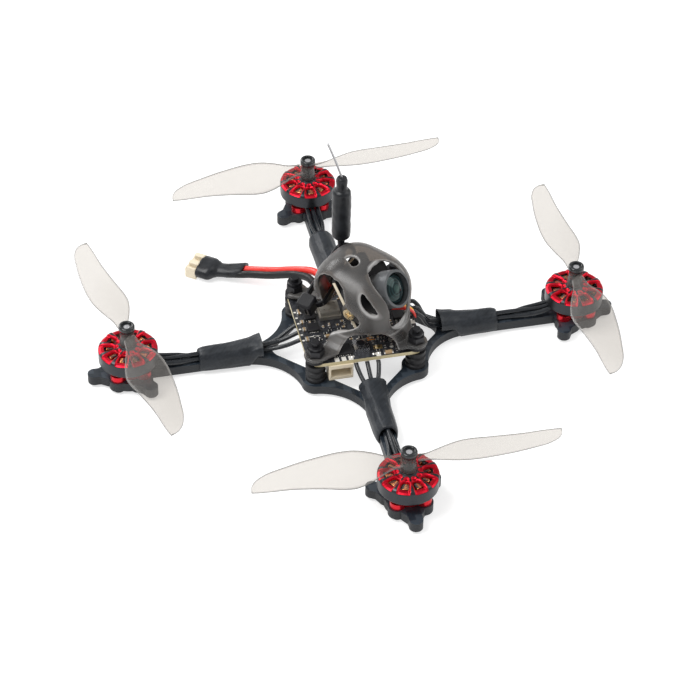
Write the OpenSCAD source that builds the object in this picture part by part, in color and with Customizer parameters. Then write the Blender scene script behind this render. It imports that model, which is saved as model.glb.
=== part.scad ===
// Palm-sized four-rotor drone: carbon X frame, four outrunner motors with two-blade
// propellers, a soft-mounted flight board, a tinted canopy and a tilting camera.
// Millimetres. Origin: centre of the frame plate's underside. +Z up, nose towards -Y.

/* [Frame] */
// Diagonal distance between opposite motor shafts
wheelbase = 115; // [110:1:120]
// Thickness of the frame plate
plate_t = 2.5; // [2.5:0.1:3]
// Width of an arm
arm_w = 3.9; // [3.6:0.1:4.2]
// Side of the square of stack screws
stack_pitch = 25.5; // [25:0.5:26]
// Radius of a stack screw pad on the plate
stack_pad_r = 3.4; // [3.2:0.1:3.6]

/* [Motor] */
// Diameter of the motor bell
bell_d = 14.8; // [14.6:0.1:15.2]
// Diameter of the stator
stator_d = 12; // [11.6:0.1:12]
// Diameter of the motor shaft
shaft_d = 1.5; // [1.5:0.1:1.5]
// Diameter of the circle of motor screws
motor_screw_circle = 9; // [9:0.5:9]
// Number of pockets cut in the bell
pockets = 10; // [10:1:10]

/* [Propeller] */
// Diameter swept by the blades
prop_d = 76.2; // [70:0.1:78]
// Height of the blades above the plate's underside
blade_z = 13.6; // [13.4:0.1:14]

/* [Board and canopy] */
// Side of the flight board
board_w = 29.5; // [29:0.1:30]
// Height of the board's underside
board_z = 7.5; // [7.3:0.1:7.6]
// Thickness of the board
board_t = 1; // [0.8:0.1:1]
// Height of the canopy's crown
canopy_top = 29.2; // [29:0.1:30]
// Wall of the canopy
canopy_wall = 1; // [0.8:0.1:1.2]

/* [Camera] */
// Width of the camera case
camera_w = 14; // [13.5:0.1:14]
// Upward tilt of the camera in degrees
camera_tilt = 30; // [25:1:32]

/* [Hidden] */
$fn = 48;
eps = 0.01;

// Corners in one order throughout: front right, front left, rear right, rear left.
CORNERS = ["front_right", "front_left", "rear_right", "rear_left"];
arm_angle = [225, 315, 135, 45];     // direction of each arm, from +X
prop_angle = [-42, 43, 54, -37];     // rest direction of each propeller
bell_angle = [13, 31, 32, 31];       // rest direction of each bell's first pocket, from the arm's
clockwise = [true, false, false, true]; // which way each rotor turns, from above
sleeve_from = [20.6, 22, 24, 24];    // each sleeve's inner end, along its arm
sleeve_to = [37, 37, 40, 41];        // each sleeve's outer end

motor_r = wheelbase / 2;             // motor axis from the centre
post = stack_pitch / sqrt(2);        // stack screw from the centre
post_angles = [0, 90, 180, 270];
screw_angles = [45, 135, 225, 315];  // motor screws, from the arm's direction
screw_r = motor_screw_circle / 2;

// Heights of the motor's parts
base_t = 1.7;                        // motor foot
stator_z0 = plate_t + 3.6;
stator_h = 2.5;
bell_z0 = plate_t + 3.3;             // lower rim of the bell
bell_z1 = plate_t + 6.6;             // top of the straight wall
bell_top = plate_t + 7.6;
flux_t = 0.5;                        // wall of the flux ring
magnet_t = 0.7;
tube_r = 2.6;                        // bearing tube
bearing_r = 2;
bearing_h = 2;
hub_r = 2;
hub_z0 = bell_top + 0.5;
hub_top = blade_z + 3.1;

// Heights in the stack
board_top = board_z + board_t;
tab_z = board_top + 0.9;             // underside of the canopy's tabs
tab_t = 0.9;
nut_z = tab_z + tab_t;
nut_h = 2.8;
screw_top = nut_z + nut_h + 1.1;
m2_r = 1;

// Camera: pivot in the side screws, axis along X
pivot = [0, -3.7, 18.2];
case_back = -1.2;                    // back of the case along the lens axis from the pivot
case_front = 3.4;
case_h = 12.4;
lens_offset = 1;                     // lens axis above the pivot
lens_front = 10.4;
ear_x0 = camera_w / 2 + 0.3;
ear_t = 0.9;

// ---- shared shapes ----------------------------------------------------------

// Place children at a corner, with +X along the arm outwards
module at_corner(i) {
    rotate(arm_angle[i]) translate([motor_r, 0, 0]) children();
}

// Place children at each stack screw
module at_posts() {
    for (a = post_angles) rotate(a) translate([post, 0, 0]) children();
}

// Board axes: +X towards the front-left edge, +Y towards the rear-left edge
module on_board(u, v, z) {
    rotate(-45) translate([u, v, z]) children();
}

module ring(r_out, r_in, h) {
    difference() {
        cylinder(r = r_out, h = h);
        translate([0, 0, -1]) cylinder(r = r_in, h = h + 2);
    }
}

// Block with rounded vertical edges
module soft_block(size, r) {
    linear_extrude(size[2]) union() {
        square([size[0] - 2 * r, size[1]], center = true);
        square([size[0], size[1] - 2 * r], center = true);
        for (sx = [-1, 1], sy = [-1, 1])
            translate([sx * (size[0] / 2 - r), sy * (size[1] / 2 - r)]) circle(r);
    }
}

// Tube of one diameter swept along points, as one closed solid
function unit(v) = v / norm(v);
function tangent(p, i) =
    unit(p[min(i + 1, len(p) - 1)] - p[max(i - 1, 0)]);
function side_of(t) = unit(cross(abs(t[2]) > 0.9 ? [1, 0, 0] : [0, 0, 1], t));
function tube_points(p, r, n) = [
    for (i = [0 : len(p) - 1])
        let (t = tangent(p, i), s = side_of(t), u = cross(t, s))
            for (k = [0 : n - 1]) p[i] + r * (s * cos(360 * k / n) + u * sin(360 * k / n))
];
module swept_tube(p, d, n = 8) {
    rings = len(p);
    faces = concat(
        [[for (k = [n - 1 : -1 : 0]) k]],
        [for (i = [0 : rings - 2], k = [0 : n - 1])
            [i * n + k, i * n + (k + 1) % n, (i + 1) * n + (k + 1) % n, (i + 1) * n + k]],
        [[for (k = [0 : n - 1]) (rings - 1) * n + k]]
    );
    polyhedron(tube_points(p, d / 2, n), [for (f = faces) [for (j = [len(f) - 1 : -1 : 0]) f[j]]]);
}

// ---- frame --------------------------------------------------------------------

pad_lobe = 10.4;                     // reach of a motor pad's lobe from the motor axis
pad_lobe_r = 1.7;
lobe_flare = 2.9;                    // half-width of a lobe where it leaves the pad
screw_boss_r = 2.3;
window_half = 16.2;                  // half-side of the square window in the middle
window_r = 4;
blend_r = 13;                        // concave edge from a stack pad to an arm
// Centre of that edge's arc, which just crosses the pad at [post, 0] and the arm at 45 degrees
bite = 0.04;                         // how far that arc cuts into the pad and the arm
blend_reach = stack_pad_r + blend_r - bite;
blend_k = sqrt(2) * (arm_w / 2 + blend_r - bite) - post;
blend_y = (sqrt(2 * blend_reach * blend_reach - blend_k * blend_k) - blend_k) / 2;
blend_c = [blend_y + blend_k + post, blend_y];
blend_foot = (blend_c[0] + blend_c[1]) / 2;

module beam_half() {
    difference() {
        polygon([[0, 0], [post, 0], blend_c, [blend_foot, blend_foot]]);
        translate(blend_c) circle(blend_r);
    }
}

module motor_pad() {
    tip = pad_lobe - pad_lobe_r;
    circle(screw_r + 1.3);
    for (a = [0, 120, 240]) rotate(a) {
        polygon([[3, -lobe_flare - 0.6], [5.6, -lobe_flare], [7.4, -pad_lobe_r], [tip, -pad_lobe_r + bite],
            [tip, pad_lobe_r - bite], [7.4, pad_lobe_r], [5.6, lobe_flare], [3, lobe_flare + 0.6]]);
        translate([tip, 0]) circle(pad_lobe_r);
    }
    for (a = screw_angles) rotate(a) translate([screw_r, 0]) circle(screw_boss_r);
}

module frame_outline() {
    difference() {
        for (a = post_angles) rotate(a) {
            beam_half();
            mirror([0, 1]) beam_half();
        }
        square([2 * (window_half - window_r), 2 * window_half], center = true);
        square([2 * window_half, 2 * (window_half - window_r)], center = true);
        for (a = arm_angle) rotate(a) translate([sqrt(2) * (window_half - window_r), 0]) circle(window_r + bite);
    }
    for (a = post_angles) rotate(a) translate([post, 0]) circle(stack_pad_r);
    for (a = arm_angle) rotate(a) {
        translate([sqrt(2) * window_half - 1, -arm_w / 2]) square([motor_r - sqrt(2) * window_half, arm_w]);
        translate([motor_r, 0]) motor_pad();
    }
}

module frame_plate() {
    color([0.13, 0.14, 0.15]) difference() {
        linear_extrude(plate_t) frame_outline();
        at_posts() translate([0, 0, -1]) cylinder(r = m2_r, h = plate_t + 2);
        for (i = [0 : 3]) at_corner(i) {
            for (a = screw_angles) rotate(a) translate([screw_r, 0, -1])
                cylinder(r = 0.8, h = plate_t + 2);
            translate([0, 0, -1]) cylinder(r = 1.8, h = plate_t + 2);
        }
    }
}

// ---- stack ----------------------------------------------------------------------

head_h = 0.9;

// Socket-head screw standing up from under the plate
module screw(r_head, r, length, socket_r) {
    difference() {
        union() {
            translate([0, 0, -head_h]) cylinder(r = r_head, h = head_h);
            translate([0, 0, -eps]) cylinder(r = r, h = length + eps);
        }
        translate([0, 0, -head_h - 1]) cylinder(r = socket_r, h = 1.5, $fn = 6);
    }
}

module stack_screws() {
    color([0.1, 0.1, 0.11]) at_posts() screw(1.8, m2_r, screw_top, 0.7);
}

// Ridged rubber grommet with a groove that holds the board
module grommets() {
    neck_r = 1.65;
    color([0.06, 0.06, 0.07]) at_posts() rotate_extrude() polygon([
        [m2_r, plate_t], [2.5, plate_t], [2.5, plate_t + 0.9],
        [2.1, plate_t + 1.2], [2.1, plate_t + 1.7],
        [2.5, plate_t + 2], [2.5, plate_t + 2.9],
        [2.1, plate_t + 3.2], [2.1, plate_t + 3.7],
        [2.5, plate_t + 4], [2.5, board_z],
        [neck_r, board_z], [neck_r, board_top],
        [2.5, board_top], [2.4, tab_z], [m2_r, tab_z],
    ]);
}

module lock_nuts() {
    hex_h = 1.9;
    color([0.05, 0.05, 0.06]) at_posts() translate([0, 0, nut_z]) difference() {
        union() {
            cylinder(r = 2.25, h = hex_h, $fn = 6);
            cylinder(r = 1.75, h = nut_h);
        }
        translate([0, 0, -1]) cylinder(r = m2_r, h = nut_h + 2);
    }
}

module flight_board() {
    corner_r = 3;
    color([0.05, 0.05, 0.06]) difference() {
        on_board(0, 0, board_z) soft_block([board_w, board_w, board_t], corner_r);
        at_posts() translate([0, 0, board_z - 1]) cylinder(r = 1.65, h = board_t + 2);
    }
}

// Packages on the board: [u, v, width, depth, height], top side and underside
TOP_CHIPS = [
    [-5.9, -11.0, 5, 3.6, 0.8], [-11, 3.4, 3, 3, 0.8], [-11, -1.2, 3, 3, 0.8],
    [-10.8, 7.4, 2.2, 1.6, 1], [11, 3.5, 3, 3, 0.8], [11, -0.8, 3, 3, 0.8],
    [4.5, 11, 3, 3, 0.8], [3.6, -3.4, 5, 5, 0.9],
];
LOW_CHIPS = [
    [3, -10.5, 5, 5, 0.9], [-9.5, 3, 3, 3, 0.8], [8.3, 3, 3, 3, 0.8], [0, 9, 6, 4, 0.9],
];
// Small parts: [u, v, width, depth]
SMALL_PARTS = [
    [5.5, -14, 2.4, 1], [-13.2, 5.4, 1, 1.8], [-13.2, 1.4, 1, 1.1], [-13.2, -1.4, 1, 1.1],
    [-13.2, -5.2, 1, 1.4], [-8, -5, 1.6, 0.8], [-8, -7, 1.6, 0.8], [8.4, -7.4, 1.2, 2],
    [13, -5.2, 1, 1.8], [13, 6, 1, 1.8], [-5.4, 13, 1.8, 1],
];
module board_chips() {
    color([0.09, 0.09, 0.1]) {
        for (c = TOP_CHIPS) on_board(c[0], c[1], board_top) soft_block([c[2], c[3], c[4]], 0.1);
        for (c = LOW_CHIPS) on_board(c[0], c[1], board_z - c[4]) soft_block([c[2], c[3], c[4]], 0.1);
    }
    color([0.7, 0.55, 0.25])
        for (c = SMALL_PARTS) on_board(c[0], c[1], board_top) soft_block([c[2], c[3], 0.6], 0.1);
}

// Video transmitter module under its shield, raised on a row of pins
can_at = [-1.5, 6.8];
module shield_can() {
    color([0.55, 0.54, 0.5]) translate([can_at[0], can_at[1], 0]) rotate(-45) difference() {
        translate([0, 0, board_top + 1]) soft_block([5, 4.4, 1.3], 0.3);
        for (u = [-1.5 : 1.5 : 1.5], v = [-1.2, 1.2]) translate([u, v, board_top + 2.1])
            cylinder(r = 0.35, h = 1);
    }
    color([0.05, 0.05, 0.06]) translate([can_at[0], can_at[1], board_top]) rotate(-45)
        soft_block([5.6, 5, 1], 0.2);
}

module usb_socket() {
    depth = 5;
    color([0.7, 0.7, 0.72]) on_board(board_w / 2 - depth / 2 + 0.6, 2.5, board_z - 2.6) difference() {
        soft_block([depth, 7.4, 2.6], 0.5);
        translate([1, 0, 0.4]) soft_block([depth, 6.4, 1.8], 0.3);
    }
}

module lower_socket() {
    height = 4.4;
    color([0.8, 0.74, 0.62]) on_board(-6.7, -12.9, board_z - height) difference() {
        soft_block([6.2, 4.6, height], 0.2);
        translate([0, -1, 0.8]) soft_block([5.2, 4.6, height - 1.8], 0.1);
    }
}

module button_housing() {
    size = 3.8;
    color([0.75, 0.75, 0.76]) on_board(-0.9, -10.9, board_top) difference() {
        soft_block([size, size, 1.4], 0.2);
        translate([0, 0, 0.6]) cylinder(r = 1.15, h = 1);
    }
}

module boot_button() {
    color([0.06, 0.06, 0.08]) on_board(-0.9, -10.9, board_top + 0.85) cylinder(r = 1.05, h = 0.95);
}

// ---- canopy -----------------------------------------------------------------------

canopy_base = 13;                    // lower rim of the dome
dome_y = -3.4;                       // axis of that rim
dome_r = 10.6;

module dome(shrink) {
    crown_r = 8.8 - shrink;
    back_r = 8.2 - shrink;
    hull() {
        for (x = [-2.4, 2.4]) {
            translate([x, -4.7, canopy_top - 9.6]) sphere(r = crown_r, $fn = 32);
            translate([x, 1, canopy_top - 8.2]) sphere(r = back_r, $fn = 32);
        }
        translate([0, dome_y, canopy_base - (shrink > 0 ? 3 : 0)])
            cylinder(r = dome_r - shrink, h = 1, $fn = 40);
    }
}

// Feet: each one's outline from above, and its flare as [distance from the dome's axis, height]
FRONT_FOOT = [
    [-6.4, -12.6], [-5.6, -15], [-4.8, -16.6], [-2.9, -18], [2.9, -18], [4.8, -16.6], [5.6, -15], [6.4, -12.6],
];
SIDE_FOOT = [
    [9, 0.1], [11.4, 0.1], [13.7, 0.4], [15.6, 1.8], [18, 2.9], [18, -2.9], [16, -4], [13.3, -4.9],
    [10.3, -6.8], [9, -7.6],
];
REAR_FOOT = [[-2, 5.5], [-2, 10], [-1.9, 13.5], [-2.9, 18], [2.9, 18], [1.9, 13.5], [2, 10], [2, 5.5]];
function flare(reach) =              // flare whose level part starts at reach
    let (bend = (reach - dome_r) / 3.6, low = tab_z, high = tab_z + tab_t)
    concat(
        [[9.7, 13.9], [9.7, 13], [dome_r - 0.9 + bend, 11.7], [dome_r - 0.9 + 2.4 * bend, 10.3], [reach - 0.3, low]],
        [[25, low], [25, high]],
        [[reach, high], [dome_r + 2.4 * bend, 11.1], [dome_r + bend, 12.5], [dome_r, 13.9]]
    );
module foot(outline, reach) {
    intersection() {
        translate([0, dome_y, 0]) rotate_extrude() polygon(flare(reach));
        translate([0, 0, 5]) linear_extrude(15) polygon(outline);
    }
}

// Egg-shaped lens opening across the camera's axis: [height, radius] of its two ends
PORT_TOP = [3.2, 5.35];
PORT_LOW = [-4.9, 4.5];
module lens_port() {
    for (c = [PORT_TOP, PORT_LOW]) translate([0, c[0]]) circle(c[1]);
    polygon([for (c = [PORT_TOP, PORT_LOW], s = [-1, 1]) [s * (c == PORT_LOW ? -1 : 1) * (c[1] - 0.04), c[0] + 0.4]]);
}

// Outline of the opening on each side: [y, z]
SIDE_OPENING = [
    [7.3, 12], [0.9, 11.6], [-3.3, 13.9], [-5.7, 15.4], [-7.3, 17], [-7.8, 18.4], [-7.3, 19.9], [-4.1, 21.8],
    [-2.9, 24], [-1.8, 25.6], [0, 26.5], [2.6, 26.8], [4.5, 26.3], [6, 25], [7.3, 22.5],
];
ear_r = 2.5;                         // ear round a camera screw

// Outline of the arch between a front foot and a side foot: [across the arm's direction, height]
ARCH = [
    [-7.6, 8.4], [-6.6, 10.3], [-5.4, 11.5], [-4, 13], [-2.4, 13.9], [0, 14.2], [2.5, 14.1],
    [4.6, 13.5], [6.2, 12.2], [7.4, 10.8], [8.2, 8.4],
];

// Ear's outline, out to the wall in front of the side opening: drawn as [-z, y] from the pivot
module ear_outline() {
    circle(ear_r);
    translate([-ear_r + 0.1, -7]) square([2 * ear_r - 0.2, 7]);
}

module canopy() {
    color([0.36, 0.34, 0.33, 0.6]) difference() {
        union() {
            difference() {
                union() {
                    difference() {
                        dome(0);
                        dome(canopy_wall);
                    }
                    foot(FRONT_FOOT, 12.2);
                    for (s = [0, 1]) mirror([s, 0, 0]) foot(SIDE_FOOT, 14.4);
                    foot(REAR_FOOT, 18.4);
                }
                for (s = [-1, 1]) rotate([90, 0, s * 90]) translate([0, 0, 5]) linear_extrude(10)
                    polygon([for (p = SIDE_OPENING) [s * p[0], p[1]]]);
            }
            at_posts() translate([0, 0, tab_z]) cylinder(r = 2.9, h = tab_t);
            // ears that hold the camera's side screws
            intersection() {
                dome(0);
                for (s = [-1, 1]) translate(pivot) rotate([0, s * 90, 0])
                    translate([0, 0, ear_x0]) linear_extrude(ear_t) ear_outline();
            }
        }
        at_posts() translate([0, 0, tab_z - 1]) cylinder(r = m2_r, h = tab_t + 2);
        translate(pivot) rotate([90 - camera_tilt, 0, 0]) translate([0, 0, 6])
            linear_extrude(20) lens_port();
        // bores for the side screws
        for (s = [-1, 1]) translate(pivot) rotate([0, s * 90, 0])
            translate([0, 0, ear_x0 - 1]) cylinder(r = m2_r + 0.05, h = 3);
        // slanted vents in front of the ears
        for (s = [0, 1]) mirror([s, 0, 0]) translate([-9, -9, 23]) rotate([-41, 0, 0]) rotate([0, 90, 0])
            translate([0, 0, -3]) scale([1, 0.27, 1]) cylinder(r = 3.3, h = 6, $fn = 24);
        // arches over the board's front edges
        for (s = [0, 1]) mirror([s, 0, 0]) rotate(225) rotate([90, 0, 90]) translate([0, 0, 4])
            linear_extrude(12) polygon(ARCH);
        // slot the tie passes through
        tie_frame() linear_extrude(strap_w + 0.6, center = true) difference() {
            stadium(tie_half, tie_r + strap_t + 0.3);
            stadium(tie_half, tie_r - 0.3);
        }
        // half-round vent at the crown
        translate([-2.1, 0, canopy_top - 4]) rotate(-27) intersection() {
            cylinder(r = 1.9, h = 5, $fn = 24);
            translate([-0.7, -3, 0]) cube([6, 6, 5]);
        }
    }
}

// ---- camera -------------------------------------------------------------------------

// Camera axes: +Z along the lens axis, +Y up across it, origin at the pivot
module in_camera() {
    translate(pivot) rotate([90 - camera_tilt, 0, 0]) children();
}

module camera_case() {
    color([0.05, 0.05, 0.06]) in_camera() difference() {
        translate([0, lens_offset - 0.6, case_back]) soft_block([camera_w, case_h, case_front - case_back], 2);
        for (s = [-1, 1]) translate([s * camera_w / 2, 0, 0]) rotate([0, 90, 0])
            translate([0, 0, -1.6]) cylinder(r = m2_r, h = 3.2);
        translate([0, lens_offset, case_back - 1]) cylinder(r = 3.6, h = 10);
    }
}

module camera_board() {
    color([0.07, 0.07, 0.06]) in_camera() {
        translate([0, lens_offset + 0.4, case_back - 1]) difference() {
            soft_block([camera_w, 15.6, 1], 1.5);
            for (s = [-1, 1]) translate([s * 5.6, -6.6, -1]) cylinder(r = 0.6, h = 3);
        }
        translate([0, lens_offset - 5, case_back - 2.6]) soft_block([6.4, 3, 1.6], 0.2);
    }
}

glass_w = 4.1;                       // front glass: radius of its edge, and of its curve
glass_r = 6.6;
module lens_barrel() {
    color([0.2, 0.21, 0.22]) in_camera() translate([0, lens_offset, 0]) difference() {
        union() {
            cylinder(r = 3.6, h = 6);
            translate([0, 0, case_front]) cylinder(r = 4.1, h = 3);
            translate([0, 0, case_front + 3]) cylinder(r = 4.75, h = lens_front - case_front - 3);
        }
        translate([0, 0, lens_front - 1.6]) cylinder(r = glass_w, h = 3);
        translate([0, 0, -1]) cylinder(r = 3, h = 4);
    }
}

module lens_glass() {
    color([0.1, 0.14, 0.14]) in_camera() translate([0, lens_offset, lens_front - 1.6])
        rotate_extrude() intersection() {
            translate([0, 1.5 - glass_r]) circle(r = glass_r, $fn = 96);
            square([glass_w, 5]);
        }
}

module camera_screws() {
    head_x = ear_x0 + ear_t + 0.15;
    color([0.75, 0.66, 0.5]) for (s = [-1, 1]) translate(pivot) rotate([0, s * 90, 0])
        difference() {
            union() {
                translate([0, 0, camera_w / 2 - 1.6]) cylinder(r = m2_r, h = head_x - camera_w / 2 + 1.7);
                translate([0, 0, head_x]) cylinder(r = 1.5, h = 0.7);
            }
            for (a = [0, 90]) rotate(a) translate([-0.9, -0.2, head_x + 0.4]) cube([1.8, 0.4, 1]);
        }
}

// Camera's three-wire lead, from the board up to just behind the camera
CAMERA_LEAD = [
    [3.9, 3, 10.1], [3.9, 3.2, 11.5], [3.4, 3.6, 12.8], [2.3, 3.8, 13.9], [1.2, 3.4, 14.5],
];
module camera_lead() {
    pitch = 0.9;
    color([0.8, 0.2, 0.1]) for (k = [0 : 2])
        swept_tube([for (p = CAMERA_LEAD) p + [pitch * (k - 1), 0, 0]], 0.8, 8);
    color([0.85, 0.82, 0.75]) translate([3.9, 3, board_top + 0.9]) cube([4, 2.4, 1.6], center = true);
}

// ---- antenna and tie ------------------------------------------------------------------

antenna_at = [9.2, 10.1];            // axis of the antenna
whip_tip = [5.6, 12, 55];            // bare end of the whip
ANTENNA = [                          // sleeve's radius at each height
    [0.9, 10.9], [0.9, 22.3], [1.6, 23], [2.3, 23.9], [2.3, 38.2], [2.1, 39.1], [1.4, 39.8], [1.35, 43.2],
];

module antenna_sleeve() {
    color([0.07, 0.07, 0.08]) translate([antenna_at[0], antenna_at[1], 0]) {
        rotate_extrude() polygon(concat([[0, ANTENNA[0][1]]], ANTENNA, [[0, 43.2]]));
    }
}

module antenna_whip() {
    base = [antenna_at[0], antenna_at[1], 43.2];
    color([0.6, 0.6, 0.6]) swept_tube([base, base + (whip_tip - base) / 2, whip_tip], 0.6, 8);
}

// Tie round the antenna's neck and the canopy's rear rim, with its head
tie_tilt = 22;
tie_half = 6.7;                      // half-length between the strap's round ends
tie_r = 2.15;                        // inner radius of the round ends
tie_y = 8.95;                        // middle of the loop, round the canopy's rear wall
strap_t = 0.8;
strap_w = 2.2;
tie_head = 3.4;
module tie_frame() {
    translate([antenna_at[0], tie_y, 19.6]) rotate([0, -tie_tilt, 0])
        translate([-tie_half, 0, 0]) children();
}
module stadium(half, r) {
    square([2 * half, 2 * r], center = true);
    for (s = [-1, 1]) translate([s * half, 0]) circle(r);
}
module zip_tie() {
    color([0.05, 0.05, 0.06]) tie_frame() {
        linear_extrude(strap_w, center = true) difference() {
            stadium(tie_half, tie_r + strap_t);
            stadium(tie_half, tie_r);
        }
        translate([-tie_half - tie_r - 1.5, 1.1, 0]) difference() {
            cube(tie_head, center = true);
            translate([-1.6, 0, 0]) cube([2, 1.6, 1.6], center = true);
        }
    }
}

// ---- battery lead ----------------------------------------------------------------------

wire_d = 2;
// Centre line of the red wire, from the board's rear edge to the boot
RED = [
    [5.6, 11.3, 9.7], [6, 12.3, 10.2], [6.6, 13.5, 10.55], [7.2, 14.8, 10.8], [7.8, 16.2, 10.8],
    [8.2, 17.8, 10.5], [8.45, 19.6, 9.9], [8.5, 21.6, 9.1], [8.5, 23.8, 8.15], [8.5, 26.2, 7],
    [8.5, 28.6, 5.8], [8.45, 31, 4.8], [8.3, 33.4, 3.85], [8.1, 35.6, 3.1], [7.8, 37.4, 2.6],
    [7.5, 38.8, 2.25],
];
BLACK = [
    [3.6, 13.2, 9.7], [3.9, 14, 10.1], [4.4, 15, 10.4], [4.95, 16.1, 10.45], [5.5, 17.3, 10.3],
    [5.95, 18.6, 9.95], [6.25, 20, 9.45], [6.45, 21.6, 8.85], [6.5, 23.4, 8.15], [6.5, 25.4, 7.2],
    [6.5, 27.5, 6.15], [6.45, 29.7, 5.1], [6.4, 31.9, 4.2], [6.25, 34.1, 3.45], [6, 36.3, 2.75],
    [5.6, 38.3, 2.1],
];
plug_at = [3.4, 49.6, 1.35];
plug_turn = 8;                       // plug's heading, degrees left of +Y

module lead_red() {
    color([0.85, 0.1, 0.08]) swept_tube(RED, wire_d, 8);
}

module lead_black() {
    color([0.06, 0.06, 0.07]) swept_tube(BLACK, wire_d, 8);
}

module at_plug() {
    translate(plug_at) rotate(plug_turn) children();
}

plug_w = 7.4;
plug_h = 4.5;
// Heat-shrink boot: narrow over the wires, wide over the plug's shoulder
module lead_boot() {
    color([0.08, 0.08, 0.09]) {
        hull() {
            translate([6.5, 38.9, 2.1]) rotate([-90, 0, 12]) oval_disc(4.6, 3, 1.2);
            at_plug() translate([0, -4.2, -0.1]) rotate([-90, 0, 0]) oval_disc(5, 3.4, 0.6);
        }
        hull() {
            at_plug() translate([0, -4.4, -0.1]) rotate([-90, 0, 0]) oval_disc(5.4, 3.6, 0.6);
            at_plug() translate([0, -2.2, 0]) cube([plug_w + 0.4, 1, plug_h - 0.1], center = true);
            at_plug() translate([0, -0.5, 0]) cube([plug_w + 0.4, 1, plug_h - 0.1], center = true);
        }
    }
}

// Short cylinder with an oval outline, width w and height h
module oval_disc(w, h, length) {
    for (s = [-1, 1]) translate([s * (w - h) / 2, 0, 0]) cylinder(r = h / 2, h = length, $fn = 24);
}

module battery_plug() {
    depth = 3.2;
    color([0.85, 0.8, 0.68]) at_plug() translate([0, 0, -plug_h / 2]) difference() {
        union() {
            translate([0, depth / 2, 0]) soft_block([plug_w - 0.6, depth, plug_h - 1.4], 0.3);
            for (s = [-1, 1]) translate([s * 1.6, depth / 2 - 0.4, 0])
                soft_block([1.4, depth - 0.8, plug_h], 0.2);
        }
        for (s = [-1, 1]) translate([s * 1.1, depth - 2.4, (plug_h - 1.4) / 2]) rotate([-90, 0, 0])
            cylinder(r = 0.6, h = 4);
    }
}

// ---- motors -----------------------------------------------------------------------------

module motor_screws() {
    color([0.1, 0.1, 0.11]) for (i = [0 : 3]) at_corner(i)
        for (a = screw_angles) rotate(a) translate([screw_r, 0, 0])
            screw(1.5, 0.8, plate_t + base_t - 0.3, 0.55);
}

module bearings() {
    color([0.72, 0.72, 0.74]) for (i = [0 : 3]) at_corner(i)
        for (z = [plate_t + 0.6, stator_z0 + stator_h - bearing_h])
            translate([0, 0, z]) ring(bearing_r, shaft_d / 2 + 0.03, bearing_h);
}

// Red foot with a boss at each screw, and the bearing tube
module motor_base(i) {
    color([0.8, 0.05, 0.08]) at_corner(i) difference() {
        union() {
            translate([0, 0, plate_t]) cylinder(r = 4.4, h = base_t);
            for (a = screw_angles) rotate(a) {
                translate([screw_r, 0, plate_t]) cylinder(r = 1.9, h = base_t);
                translate([0, -1.9, plate_t]) cube([screw_r, 3.8, base_t]);
            }
            translate([0, 0, plate_t]) cylinder(r = tube_r, h = stator_z0 + stator_h - plate_t);
        }
        for (a = screw_angles) rotate(a) translate([screw_r, 0, plate_t - 1])
            cylinder(r = 0.8, h = base_t + 0.7);
        translate([0, 0, plate_t - 1]) cylinder(r = 1.2, h = 20);
        translate([0, 0, plate_t + 0.6]) cylinder(r = bearing_r, h = 20);
    }
}

// Nine wound teeth round the bearing tube
teeth = 9;
core_r = 3.5;                        // inner ends of the slots
shoe_t = 0.5;                        // thickness of a tooth's shoe
slot_inner = 0.75;                   // half-widths of a slot, inner and outer
slot_outer = 1.5;
module stator(i) {
    stator_r = stator_d / 2;
    shoe_r = stator_r - shoe_t;
    turn = 360 / teeth;
    color([0.3, 0.28, 0.26]) at_corner(i) translate([0, 0, stator_z0]) linear_extrude(stator_h)
        difference() {
            circle(stator_r);
            circle(tube_r);
            for (k = [0 : teeth - 1]) rotate(turn * k) {
                polygon([[core_r, -slot_inner], [shoe_r, -slot_outer], [shoe_r, slot_outer], [core_r, slot_inner]]);
                translate([shoe_r - 1, -0.3]) square([3, 0.6]);
            }
        }
    color([0.75, 0.35, 0.15]) at_corner(i) for (k = [0 : teeth - 1]) rotate(turn * (k + 0.5)) {
        for (z = [stator_z0 - 0.5, stator_z0 + stator_h])
            translate([core_r + 0.1, -0.8, z]) cube([shoe_r - core_r - 0.4, 1.6, 0.5]);
    }
}

// Turned bell: flux ring, shoulder and pocketed top
pocket_r0 = 4.4;                     // centre of a pocket's round inner end
pocket_w0 = 0.95;                    // half-width there
pocket_r1 = 7.05;                    // outer end
pocket_w1 = 1.3;
module bell(i) {
    r = bell_d / 2;
    r_in = r - flux_t;
    roof = 0.8;
    color([0.2, 0.2, 0.22]) at_corner(i) difference() {
        rotate_extrude() polygon([
            [r_in, bell_z0], [r, bell_z0], [r, bell_z1], [r - 0.3, bell_z1 + 0.5], [r - 1.1, bell_top],
            [hub_r + 0.4, bell_top], [hub_r, hub_z0], [shaft_d / 2, hub_z0],
            [shaft_d / 2, bell_top - roof - 0.3], [hub_r, bell_top - roof - 0.3],
            [hub_r + 0.3, bell_top - roof], [r_in, bell_z1],
        ]);
        for (k = [0 : pockets - 1]) rotate(360 * k / pockets + bell_angle[i]) {
            translate([0, 0, bell_z1 + 0.1]) linear_extrude(3) {
                translate([pocket_r0, 0]) circle(pocket_w0);
                polygon([[pocket_r0, -pocket_w0 + 0.01], [pocket_r1, -pocket_w1], [pocket_r1, pocket_w1],
                    [pocket_r0, pocket_w0 - 0.01]]);
            }
        }
    }
}

module magnets(i) {
    count = 12;
    r_in = bell_d / 2 - flux_t;
    color([0.7, 0.7, 0.72]) at_corner(i) difference() {
        translate([0, 0, bell_z0 + 0.1]) ring(r_in, r_in - magnet_t, 3);
        for (k = [0 : count - 1]) rotate(360 * k / count)
            translate([r_in - magnet_t - 1, -0.2, bell_z0 - 1]) cube([3, 0.4, 6]);
    }
}

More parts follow.
